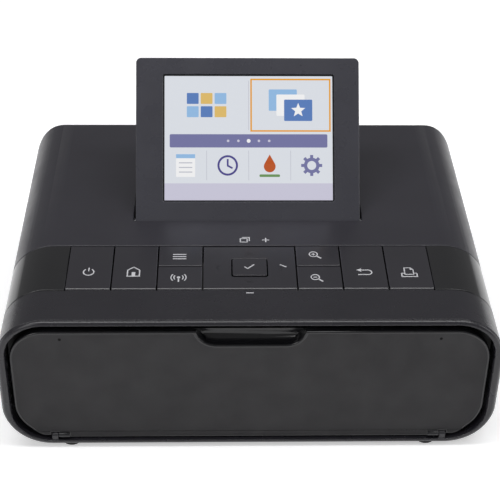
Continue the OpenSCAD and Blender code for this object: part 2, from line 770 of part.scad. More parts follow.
// Switches that the key stems press
module key_switches() {
  color([0.75, 0.75, 0.77]) for (place = concat(key_places, nav_places, [[0, nav_mid_v]]))
    on_top() translate([place[0], place[1], -key_board_w]) {
      translate([-switch_w / 2, -switch_w / 2, 0]) cube([switch_w, switch_w, switch_h - 0.6]);
      cylinder(h = switch_h, d = 2);
    }
}

// Slot in the right side for a memory card
module card_socket() {
  color([0.7, 0.7, 0.72]) difference() {
    block([in_half_w - socket_len, card_y, card_z], [in_half_w - socket_gap, card_y + card_w, card_z + card_h]);
    card_mouth();
  }
}
// Space that the card goes into, through the side wall
module card_mouth() {
  block([in_half_w - socket_len + 2, card_y + 1, card_z + 0.7], [half_w + 2, card_y + card_w - 1, card_z + card_h - 0.7]);
}
// Socket in the right side for a cable from a camera
module usb_host_socket() {
  color([0.72, 0.72, 0.74]) {
    difference() {
      block([in_half_w - socket_len + 4, usb_y, usb_z], [in_half_w - socket_gap, usb_y + usb_w, usb_z + usb_h]);
      usb_mouth();
    }
    block([in_half_w - socket_len + 4 - tiny, usb_y + 1.5, usb_z + 2.4],
      [in_half_w - 3, usb_y + usb_w - 1.5, usb_z + 3.8]);
    block([in_half_w - socket_len + 4, usb_y, card_z + card_h + socket_gap],
      [in_half_w - 6, usb_y + usb_w, usb_z + tiny]);
  }
}
// Space inside the cable socket, through the side wall
module usb_mouth() {
  block([in_half_w - socket_len + 8, usb_y + 0.7, usb_z + 0.7], [half_w + 2, usb_y + usb_w - 0.7, usb_z + usb_h - 0.7]);
}

// Power inlet in the rear
module dc_inlet() {
  color([0.08, 0.08, 0.09]) {
    difference() {
      union() {
        block([inlet_x - 5, rear_y - 15, inlet_z - 6], [inlet_x + 5, rear_y - seam, inlet_z + 6]);
        rod_y(rear_y - 1, body_d - 0.4, inlet_x, inlet_z, inlet_r);
        block([inlet_x - 4, rear_y - 14, main_z + main_t + seam], [inlet_x + 4, rear_y - 4, inlet_z - 5]);
      }
      rod_y(rear_y - 12, body_d + 1, inlet_x, inlet_z, inlet_r - 0.9);
    }
    rod_y(rear_y - 12.5, rear_y, inlet_x, inlet_z, 0.8);
  }
}
// Contacts in the rear for a battery pack
module battery_terminal() {
  color([0.10, 0.10, 0.11]) {
    difference() {
      block([battery_x - battery_w / 2, rear_y - 6, battery_z0], [battery_x + battery_w / 2, rear_y - seam, battery_z0 + battery_h]);
      block([battery_x - battery_w / 2 + 1, rear_y - 4, battery_z0 + 1],
        [battery_x + battery_w / 2 - 1, rear_y + 1, battery_z0 + battery_h - 1]);
    }
    for (blade = [0:5]) block([battery_x - 12 + blade * 4.6, rear_y - 4.5, battery_z0 + 2],
      [battery_x - 11 + blade * 4.6, rear_y - 1, battery_z0 + battery_h - 4]);
    block([battery_x - 10, rear_y - 5.5, main_z + main_t + seam], [battery_x + 10, rear_y - 1.5, battery_z0 + 1]);
  }
}

// Case of the ink cassette: two lobes, a bridge at each end and the grip at the right
module ink_case() {
  color([0.30, 0.31, 0.34]) difference() {
    union() {
      for (y = [take_up_y, supply_y]) rod_x(-ink_half_w, ink_grip_x, y, lobe_z, lobe_r);
      block([-ink_half_w, take_up_y, lobe_z - 2], [-ink_half_w + bridge_w, supply_y, lobe_z + bridge_t]);
      block([ink_half_w - bridge_w, take_up_y, lobe_z - 2], [ink_grip_x, supply_y, lobe_z + bridge_t]);
    }
    for (y = [take_up_y, supply_y]) {
      rod_x(-ink_half_w + lobe_end_t, ink_half_w - lobe_end_t, y, lobe_z, lobe_r - lobe_wall);
      rod_x(-ink_half_w - 1, ink_half_w + 1, y, lobe_z, journal_r + run);
      rod_x(ink_half_w + lobe_end_t, ink_grip_x - lobe_end_t, y, lobe_z, lobe_r - lobe_wall);
    }
    block([-ribbon_w / 2 - 0.6, take_up_y + 0.6, lobe_z - lobe_r - 1], [ribbon_w / 2 + 0.6, take_up_y + lobe_r + 1, lobe_z - 1]);
    block([-ribbon_w / 2 - 0.6, supply_y - lobe_r - 1, lobe_z - lobe_r - 1], [ribbon_w / 2 + 0.6, supply_y - 0.6, lobe_z - 1]);
  }
}
// Ribbon between the two spools, over the paper
module ink_ribbon() {
  low = ribbon_z;
  drop = ribbon_t;
  from = lobe_z - take_up_r - ribbon_t - 0.1;
  to = lobe_z - supply_r - ribbon_t - 0.1;
  points = [[take_up_y + 1, from], [platen_y - 6, low], [platen_y + 6, low], [supply_y - 1, to]];
  color([0.35, 0.18, 0.40]) along_x(-ribbon_w / 2, ribbon_w / 2)
    polygon(concat(points, [for (index = [3:-1:0]) points[index] + [0, drop]]));
}
// Screws that hold the lower case to the upper shells
module case_screws() {
  color([0.55, 0.55, 0.57]) for (side = [-1, 1], y = [screw_front_y, screw_rear_y])
    translate([side * screw_x, y, foot_h + 1]) {
      difference() {
        cylinder(h = screw_head_t, r = screw_head_r);
        for (turn = [0, 90]) rotate([0, 0, turn]) translate([-1.6, -0.3, -1]) cube([3.2, 0.6, 1.8]);
      }
      cylinder(h = screw_len, r = screw_r);
    }
}

// Outline of the front door with the finger notch in its upper edge
module door_outline() {
  difference() {
    intersection() {
      rounded(-door_half_w, door_low_z - 2 * door_r, door_half_w, door_top_z, door_r);
      rounded(-door_half_w, door_low_z, door_half_w, door_top_z + 2 * door_low_r, door_low_r);
    }
    notch_outline(0);
    for (side = [-1, 1]) translate([side * (door_pin_x + lug_gap + lug_w / 2), 0])
      square([lug_w + 2 * lug_gap, 2 * (door_pin_z + door_knuckle_r + lug_gap)], center = true);
  }
}
// Outline of the finger notch, drawn out by grow
module notch_outline(grow) {
  floor_z = door_top_z - notch_h;
  rounded(-notch_w / 2 - grow, floor_z - grow, notch_w / 2 + grow, floor_z + 4 * notch_h,
    (notch_w - notch_floor_w) / 2 + grow);
}
// Front door, hinged along its lower edge
module front_door() {
  color([0.21, 0.21, 0.23]) {
    slab(door_y, door_y + door_t, door_pin_z, body_w) along_y(door_y, door_y + door_t) door_outline();
    intersection() {
      rod_x(-door_pin_x, door_pin_x, door_pin_y, door_pin_z, door_knuckle_r);
      block([-door_pin_x - 1, door_y, 0], [door_pin_x + 1, door_y + door_t, door_pin_z + tiny]);
    }
    for (side = [-1, 1]) rod_x(side > 0 ? door_pin_x - knuckle_w : -door_pin_x,
      side > 0 ? door_pin_x : knuckle_w - door_pin_x, door_pin_y, door_pin_z, door_knuckle_r);
    for (side = [-1, 1]) rod_x(side > 0 ? door_pin_x - 2 : -door_pin_x - lug_gap - lug_w,
      side > 0 ? door_pin_x + lug_gap + lug_w : 2 - door_pin_x, door_pin_y, door_pin_z, door_pin_r);
    difference() {
      along_y(door_y + door_t - 0.5, door_y + notch_pocket_h + notch_lip_t) intersection() {
        notch_outline(notch_lip_t);
        translate([-body_w, 0]) square([2 * body_w, notch_pocket_top]);
      }
      along_y(door_y - 1, door_y + notch_pocket_h) notch_outline(0);
      along_y(door_y, door_y + door_t) door_outline();
    }
  }
}

// Ink door in the right side, hinged along its front edge
module ink_door() {
  mid_z = (ink_lug_z[0] + ink_lug_z[1] + ink_lug_h) / 2;
  join_z = ink_lug_z[1] + ink_lug_h + 1;
  color([0.22, 0.22, 0.24]) {
    difference() {
      union() {
        slab(ink_axis_y, ink_end_y, join_z, ink_door_z1) ink_door_skin() { upper_form(0); upper_form(wall); }
        slab(ink_axis_y, ink_end_y, ink_door_z0, join_z) ink_door_skin() { lower_form(0); lower_form(wall); }
        block([in_half_w - 1.4, ink_end_y - 3, mid_z - 4], [half_w - wall / 2, ink_end_y - 1.6, mid_z + 4]);
      }
      for (z = ink_lug_z) translate([ink_axis_x, ink_axis_y, z - ink_gap])
        cylinder(h = ink_lug_h + 2 * ink_gap, r = ink_knuckle_r + ink_gap);
    }
    translate([ink_axis_x, ink_axis_y, ink_lug_z[0] + ink_lug_h + ink_gap])
      cylinder(h = ink_lug_z[1] - ink_lug_z[0] - ink_lug_h - 2 * ink_gap, r = ink_knuckle_r);
    translate([ink_axis_x, ink_axis_y, ink_lug_z[0] + 1])
      cylinder(h = ink_lug_z[1] - ink_lug_z[0] + ink_lug_h - 2, r = ink_pin_r);
  }
}
// Skin between an outer and an inner form, as high as the ink door's opening
module ink_door_skin() {
  intersection() {
    difference() {
      children(0);
      children(1);
    }
    block([half_w - edge_r, 0, 0], [half_w + 5, body_d, body_w]);
  }
}

// Lays its children on the raised display: X across, Y from the hinge axis to the free edge
module on_panel() { on_top() translate([0, hinge_v, -lcd_edge_r]) rotate([lcd_raise, 0, 0]) children(); }
// Outline of the display unit seen on its face
module panel_outline(inset) {
  rounded(inset - lcd_w / 2, inset - lcd_edge_r, lcd_w / 2 - inset, lcd_len - inset, lcd_corner_r);
}
// Rear half of the display unit, with its hinge pins
module lcd_rear_shell() {
  back = lcd_edge_r - lcd_t;
  front = lcd_edge_r - bezel_t;
  color([0.22, 0.22, 0.24]) on_panel() {
    difference() {
      translate([0, 0, back]) linear_extrude(front - back) panel_outline(0);
      translate([0, 0, back + lcd_wall]) linear_extrude(lcd_t) panel_outline(lcd_wall + lcd_edge_r);
    }
    for (side = [-1, 1]) rod_x(side > 0 ? lcd_w / 2 - 1 : -recess_half_w - lcd_pin_len + 0.2,
      side > 0 ? recess_half_w + lcd_pin_len - 0.2 : 1 - lcd_w / 2, 0, 0, lcd_pin_r);
  }
}
// Frame round the display's window, rounded along the hinge edge
module lcd_bezel() {
  front = lcd_edge_r - bezel_t;
  color([0.17, 0.17, 0.18]) on_panel() difference() {
    intersection() {
      translate([0, 0, front + seam / 2]) linear_extrude(bezel_t) panel_outline(0);
      along_x(-lcd_w / 2, lcd_w / 2) {
        translate([0, front]) square([lcd_len, bezel_t]);
        circle(lcd_edge_r);
      }
    }
    translate([window_u, 0, front - 1]) linear_extrude(bezel_t + 2)
      rounded(-window_w / 2, window_v, window_w / 2, window_v + window_h, 0.8);
    for (side = [-1, 1]) rod_x(side > 0 ? lcd_w / 2 - 1.2 : -recess_half_w - 2, side > 0 ? recess_half_w + 2 : 1.2 - lcd_w / 2,
      0, 0, lcd_pin_r + 0.1);
  }
}
// Liquid-crystal module with its glass, seated behind the frame
module lcd_module() {
  glass = lcd_edge_r - window_depth;
  seat = lcd_edge_r - bezel_t;
  color([0.80, 0.82, 0.86]) on_panel() {
    translate([window_u, 0, seat - 1]) linear_extrude(glass - seat + 1)
      rounded(0.1 - window_w / 2, window_v + 0.1, window_w / 2 - 0.1, window_v + window_h - 0.1, 0.8);
    block([window_u - window_w / 2 - 2, window_v - 1.8, seat - module_t], [window_u + window_w / 2 + 2,
      window_v + window_h + 1.8, seat]);
  }
}

// Side view of a key cap: flat below, with its upper front edge rounded
module key_profile(v0, v1, nose) {
  translate([v0, -key_t]) square([nose + tiny, key_t - nose + tiny]);
  translate([v0 + nose, -key_t]) square([v1 - v0 - nose, key_t]);
  intersection() {
    translate([v0 + nose, -nose]) circle(nose);
    translate([v0, -key_t]) square([2 * nose, key_t]);
  }
}
// Key cap between two columns with a rounded front edge, and the stem under it
module key_cap(u0, u1, v0, v1, nose) {
  color([0.06, 0.06, 0.07]) on_top() {
    along_x(u0 + key_gap / 2, u1 - key_gap / 2) key_profile(v0, v1, nose);
    translate([(u0 + u1) / 2, (v0 + v1) / 2, -key_t - stem_len]) cylinder(h = stem_len + 0.1, d = stem_d);
  }
}
// Key that fills one column over the whole depth of the band
module full_key(u) { key_cap(u - key_pitch / 2, u + key_pitch / 2, key_v0, key_v1, key_nose_r); }
// Front key of a split column
module front_key(u) {
  key_cap(u - key_pitch / 2, u + key_pitch / 2, key_v0, key_split_v - key_gap / 2, key_nose_r);
}
// Rear key of a split column
module rear_key(u) {
  key_cap(u - key_pitch / 2, u + key_pitch / 2, key_split_v + key_gap / 2, key_v1, key_nose_r / 3);
}
module power_key() { full_key(key_u[0]); }
module home_key() { full_key(key_u[1]); }
module wireless_key() { front_key(key_u[2]); }
module menu_key() { rear_key(key_u[2]); }
module zoom_out_key() { front_key(key_u[3]); }
module zoom_in_key() { rear_key(key_u[3]); }
module back_key() { full_key(key_u[4]); }
module print_key() { full_key(key_u[5]); }

// Key in the middle of the navigation pad
module ok_key() {
  color([0.06, 0.06, 0.07]) on_top() {
    translate([0, 0, -key_t]) linear_extrude(key_t + 0.3)
      rounded(-ok_w / 2, nav_mid_v - ok_d / 2, ok_w / 2, nav_mid_v + ok_d / 2, 1);
    translate([0, nav_mid_v, -key_t - stem_len]) cylinder(h = stem_len + 0.1, d = stem_d);
  }
}
// Pad round the OK key that tilts four ways, with the ears of its pivot
module nav_pad() {
  color([0.06, 0.06, 0.07]) {
    difference() {
      on_top() along_x(-nav_half_w + key_gap / 2, nav_half_w - key_gap / 2)
        key_profile(key_v0, key_v1 - nav_slack, key_nose_r);
      on_top() translate([0, 0, -2 * key_t]) linear_extrude(3 * key_t)
        rounded(-ok_w / 2 - nav_slack, nav_mid_v - ok_d / 2 - nav_slack, ok_w / 2 + nav_slack,
          nav_mid_v + ok_d / 2 + nav_slack, 1);
    }
    for (side = [-1, 1]) difference() {
      on_top() block([-1.8, nav_mid_v + side * 6.7 - 1, -pivot_w - 1.5], [1.8, nav_mid_v + side * 6.7 + 1, -key_t + 0.1]);
      on_top() rod_y(nav_mid_v - 9, nav_mid_v + 9, 0, -pivot_w, pivot_pin_r + run);
    }
    for (place = nav_places) on_top() translate([place[0], place[1], -key_t - stem_len])
      cylinder(h = stem_len + 0.1, d = stem_d);
  }
}
// Ring with four pins that lets the pad tilt both ways
module nav_pivot() {
  color([0.75, 0.75, 0.72]) on_top() difference() {
    union() {
      translate([0, nav_mid_v, -pivot_w - 1]) cylinder(h = 2, r = pivot_ring_r);
      rod_x(-pivot_reach, pivot_reach, nav_mid_v, -pivot_w, pivot_pin_r);
      rod_y(nav_mid_v - 7.4, nav_mid_v + 7.4, 0, -pivot_w, pivot_pin_r);
    }
    translate([0, nav_mid_v, -pivot_w - 3]) cylinder(h = 6, r = pivot_bore_r);
  }
}

// Polar angle of the involute of the base circle rb at radius r
function involute(rb, r) = r <= rb ? 0 : sqrt(pow(r / rb, 2) - 1) * 180 / PI - acos(rb / r);
// Angle of the first tooth of a gear that meshes with one whose first tooth is at phase
function mate_phase(angle, teeth, phase, mate_teeth) =
  angle + 180 + 180 / mate_teeth + (angle - phase) * teeth / mate_teeth;
// Outline of a spur gear with true involute flanks and a little backlash
module gear_outline(teeth, phase) {
  rp = gear_pitch_r(teeth);
  rb = rp * cos(20);
  root = rp - 1.25 * gear_m;
  tip = rp + gear_m;
  half = 90 / teeth - 0.06 / rp * 180 / PI + involute(rb, rp);
  start = max(root, rb);
  radii = concat(root < rb ? [root] : [], [for (i = [0:3]) start + (tip - start) * i / 3]);
  last = len(radii) - 1;
  polygon([for (k = [0:teeth - 1], side = [-1, 1], i = [0:last])
    let (r = side < 0 ? radii[i] : radii[last - i], a = phase + k * 360 / teeth + side * (half - involute(rb, r)))
      r * [cos(a), sin(a)]]);
}
// Gear on the shaft at (y, z), from x0 to x1, bored for a shaft of radius bore
module gear(teeth, phase, x0, x1, y, z, bore) {
  difference() {
    translate([0, y, z]) along_x(x0, x1) gear_outline(teeth, phase);
    rod_x(x0 - 1, x1 + 1, y, z, bore);
  }
}

// Shaft with the gear that turns the pickup rollers
module pickup_shaft() {
  color([0.72, 0.72, 0.74]) {
    rod_x(-feed_gear_x - gear_w - 0.6, shaft_right_x, pickup_y, pickup_z, shaft_r);
    gear(pickup_teeth, mate_phase(pickup_angle, feed_teeth, 0, pickup_teeth), -feed_gear_x - gear_w,
      -feed_gear_x, pickup_y, pickup_z, shaft_r);
  }
}
// Rubber rollers that push the top sheet out of the cassette
module pickup_rollers() {
  color([0.10, 0.10, 0.10]) for (side = [-1, 1]) difference() {
    rod_x(side * 20 - 6, side * 20 + 6, pickup_y, pickup_z, pickup_r);
    rod_x(side * 20 - 7, side * 20 + 7, pickup_y, pickup_z, shaft_r);
  }
}
// Roller that carries the sheet back and forth under the head
module feed_roller() {
  color([0.60, 0.61, 0.63]) {
    rod_x(-feed_gear_x - gear_w - 0.6, shaft_right_x, feed_y, feed_z, shaft_r);
    rod_x(-roller_half_w, roller_half_w, feed_y, feed_z, feed_r);
  }
}
module feed_gear() {
  color([0.90, 0.88, 0.80])
    gear(feed_teeth, 0, -feed_gear_x - gear_w, -feed_gear_x, feed_y, feed_z, shaft_r);
}
// Shaft and pinion of the feed motor
module motor_pinion() {
  color([0.80, 0.70, 0.40]) {
    rod_x(-feed_gear_x - gear_w, -plate_in_x + 6, motor_y, motor_z, motor_shaft_r);
    gear(pinion_teeth, mate_phase(motor_angle, feed_teeth, 0, pinion_teeth), -feed_gear_x - gear_w,
      -feed_gear_x, motor_y, motor_z, motor_shaft_r);
  }
}
// Roller that presses the sheet on the feed roller
module pinch_roller() {
  color([0.72, 0.72, 0.74]) {
    rod_x(-plate_out_x - 0.6, plate_out_x + 0.6, feed_y, pinch_z, pinch_shaft_r);
    rod_x(-roller_half_w, roller_half_w, feed_y, pinch_z, pinch_r);
  }
}
// Rubber roller under the thermal head
module platen_roller() {
  color([0.13, 0.13, 0.13]) {
    rod_x(-shaft_right_x, shaft_right_x, platen_y, platen_z, shaft_r);
    rod_x(-roller_half_w, roller_half_w, platen_y, platen_z, platen_r);
  }
}

// Bar that heats the ribbon, with its finned heat sink
module thermal_head() {
  color([0.70, 0.70, 0.68]) difference() {
    union() {
      block([-head_half_w, head_y - head_t / 2, head_low + 1], [head_half_w, head_y + head_t / 2, carrier_low]);
      block([-head_half_w, head_y - 2.5, head_low], [head_half_w, head_y + 2.5, head_low + 1.1]);
    }
    for (side = [-1, 1], row = [0:3]) block([-head_half_w - 1, head_y + side * head_t / 2 - 1.2, head_low + 3 + row * 2.6],
      [head_half_w + 1, head_y + side * head_t / 2 + 1.2, head_low + 4.2 + row * 2.6]);
  }
}
// Plate and arms that swing the thermal head down on the ribbon
module head_carrier() {
  color([0.62, 0.63, 0.66]) {
    block([-head_half_w, head_y - head_t / 2, carrier_low], [head_half_w, carrier_y - 4, carrier_low + carrier_t]);
    block([-arm_x - arm_t, carrier_y - 9, carrier_low], [arm_x + arm_t, carrier_y - 4, carrier_low + carrier_t]);
    for (side = [-1, 1]) along_x(side > 0 ? arm_x : -arm_x - arm_t, side > 0 ? arm_x + arm_t : -arm_x) {
      translate([carrier_y, carrier_z]) circle(2.8);
      polygon([[carrier_y - 9, carrier_low + carrier_t], [carrier_y - 9, carrier_low - 1],
        [carrier_y - 1, carrier_z - 2.6], [carrier_y + 2, carrier_z + 2], [carrier_y - 4, carrier_low + carrier_t]]);
    }
    rod_x(-plate_out_x - 0.5, plate_out_x + 0.5, carrier_y, carrier_z, shaft_r);
  }
}

// Spool that winds the used ribbon
module take_up_spool() {
  color([0.85, 0.85, 0.82]) {
    rod_x(-ink_half_w - 4, ink_half_w + 0.6, take_up_y, lobe_z, journal_r);
    rod_x(-ink_half_w + lobe_end_t + 0.3, ink_half_w - lobe_end_t - 0.3, take_up_y, lobe_z, spool_r);
    rod_x(-ribbon_w / 2, ribbon_w / 2, take_up_y, lobe_z, take_up_r);
  }
}
// Spool of fresh ribbon
module supply_spool() {
  color([0.85, 0.85, 0.82]) {
    rod_x(-ink_half_w - 0.6, ink_half_w + 0.6, supply_y, lobe_z, journal_r);
    rod_x(-ink_half_w + lobe_end_t + 0.3, ink_half_w - lobe_end_t - 0.3, supply_y, lobe_z, spool_r);
    rod_x(-ribbon_w / 2, ribbon_w / 2, supply_y, lobe_z, supply_r);
  }
}
// Gear outside the left plate whose hub turns the take-up spool
module take_up_gear() {
  color([0.90, 0.88, 0.80]) {
    gear(take_up_teeth, 0, -take_up_gear_x - gear_w, -take_up_gear_x, take_up_y, lobe_z, journal_r);
    difference() {
      rod_x(-take_up_gear_x - 0.1, -ink_half_w - 1.4, take_up_y, lobe_z, drive_hub_r);
      rod_x(-take_up_gear_x - 1, -ink_half_w, take_up_y, lobe_z, journal_r);
    }
  }
}
// Shaft and pinion of the ribbon motor
module ribbon_pinion() {
  color([0.80, 0.70, 0.40]) {
    rod_x(-bracket_x - 6, -take_up_gear_x, ribbon_pin_y, ribbon_pin_z, motor_shaft_r);
    gear(pinion_teeth, mate_phase(ribbon_motor_angle, take_up_teeth, 0, pinion_teeth), -take_up_gear_x - gear_w,
      -take_up_gear_x, ribbon_pin_y, ribbon_pin_z, motor_shaft_r);
  }
}
// Lever that keeps the ink cassette in its place
module ink_lock_lever() {
  color([0.85, 0.85, 0.86]) {
    rod_x(plate_in_x, lever_x + lever_t, lever_y, lobe_z, shaft_r);
    along_x(lever_x, lever_x + lever_t) {
      translate([lever_y, lobe_z]) circle(3);
      translate([supply_y + 4, lobe_z - 1.5]) square([lever_y - supply_y - 4, 3]);
      translate([supply_y + 4, lobe_z]) circle(1.5);
    }
  }
}

placed() front_frame();
placed() control_band();
placed() top_cover();
placed() lower_case();
placed() rear_cover();
placed() rubber_feet();
placed() mouth_frame();
placed() cassette_guide();
placed() left_side_plate();
placed() right_side_plate();
placed() frame_stays();
placed() paper_guide();
placed() feed_motor();
placed() ribbon_motor();
placed() motor_bracket();
placed() main_board();
placed() board_parts();
placed() key_board();
placed() key_switches();
placed() card_socket();
placed() usb_host_socket();
placed() dc_inlet();
placed() battery_terminal();
placed() roller_bushes();
placed() ink_case();
placed() ink_ribbon();
placed() case_screws();
placed() front_door();
placed() ink_door();
placed() lcd_rear_shell();
placed() lcd_bezel();
placed() lcd_module();
placed() power_key();
placed() home_key();
placed() menu_key();
placed() wireless_key();
placed() zoom_in_key();
placed() zoom_out_key();
placed() back_key();
placed() print_key();
placed() ok_key();
placed() nav_pad();
placed() nav_pivot();
placed() pickup_shaft();
placed() pickup_rollers();
placed() feed_roller();
placed() feed_gear();
placed() motor_pinion();
placed() pinch_roller();
placed() platen_roller();
placed() thermal_head();
placed() head_carrier();
placed() take_up_spool();
placed() take_up_gear();
placed() ribbon_pinion();
placed() supply_spool();
placed() ink_lock_lever();
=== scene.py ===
"""Looks of a compact photo printer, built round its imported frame.

Each sub-assembly is a class that holds its sizes and builds its own pieces. Sizes are in
millimetres where a name ends in _mm and in drawings, and in metres otherwise.
"""
import logging
import math
from dataclasses import dataclass, field
from enum import Enum

import bmesh
import bpy
from mathutils import Matrix, Vector


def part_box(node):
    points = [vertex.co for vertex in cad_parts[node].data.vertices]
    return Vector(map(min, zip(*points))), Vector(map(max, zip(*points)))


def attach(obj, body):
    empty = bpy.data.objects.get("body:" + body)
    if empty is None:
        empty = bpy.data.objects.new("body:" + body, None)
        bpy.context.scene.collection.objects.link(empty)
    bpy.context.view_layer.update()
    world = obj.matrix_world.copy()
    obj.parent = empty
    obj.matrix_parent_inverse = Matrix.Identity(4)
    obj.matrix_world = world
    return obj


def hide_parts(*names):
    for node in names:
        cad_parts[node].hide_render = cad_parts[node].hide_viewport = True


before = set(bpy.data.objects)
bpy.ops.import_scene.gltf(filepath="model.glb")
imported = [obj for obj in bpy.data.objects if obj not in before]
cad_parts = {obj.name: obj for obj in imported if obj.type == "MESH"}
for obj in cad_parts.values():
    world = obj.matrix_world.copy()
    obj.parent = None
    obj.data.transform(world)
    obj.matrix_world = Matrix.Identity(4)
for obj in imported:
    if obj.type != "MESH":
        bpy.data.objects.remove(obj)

LOG = logging.getLogger("photo_printer")
Colour = tuple[float, float, float]
Point2 = tuple[float, float]
Point3 = tuple[float, float, float]

MM = 0.001
# Angles that part flat, smooth and sharp surfaces
FLAT_DEG = 0.4
SMOOTH_DEG = 32.0
SHARP_DEG = 34.0
# Points of a CAD copy nearer than this are joined, and edges shorter than this are dropped
WELD_M = 0.000002
SHORT_M = 0.00006
# Strips and profile of a round corner or rim, and the weight of even shading
ROUND_STEPS = 5
ROUND_PROFILE = 0.5
EVEN_WEIGHT = 80
# Ending of every finish's material name, which keeps it apart from the frame's own materials
LOOK = "_look"
# Share of a lit colour that also shows as surface colour, and how strongly it shines
LIT_BASE = 0.08
LIT_GLOW = 0.84
# Finish of a clear coat
COAT_ROUGHNESS = 0.06
# Noise: its usual middle range, scale per metre with octaves, and stretch along X
NOISE_RANGE = (0.3, 0.7)
COLOUR_NOISE = (45.0, 3.0)
POLISH_NOISE = (110.0, 4.0)
GRAIN_OCTAVES = 2.0
BRUSHED_STRETCH = 0.06


# ---------------------------------------------------------------- finishes


def from_screen(red: int, green: int, blue: int) -> Colour:
    """Turns an 8-bit screen colour into the linear colour that a shader takes.

    Args:
        red: red from 0 to 255.
        green: green from 0 to 255.
        blue: blue from 0 to 255.

    Returns:
        The linear colour.
    """
    def linear(level: int) -> float:
        """One channel, from 0 to 255, as a linear value."""
        share = level / 255
        return share / 12.92 if share <= 0.04045 else ((share + 0.055) / 1.055) ** 2.4
    return linear(red), linear(green), linear(blue)


class Grain(Enum):
    """How a surface breaks up close to: pattern scale per metre and depth in metres."""

    SMOOTH = (600.0, 0.0000004)
    FINE = (2600.0, 0.000010)
    TEXTURED = (1700.0, 0.000018)
    BRUSHED = (700.0, 0.000006)
    PRINTED = (4000.0, 0.000002)


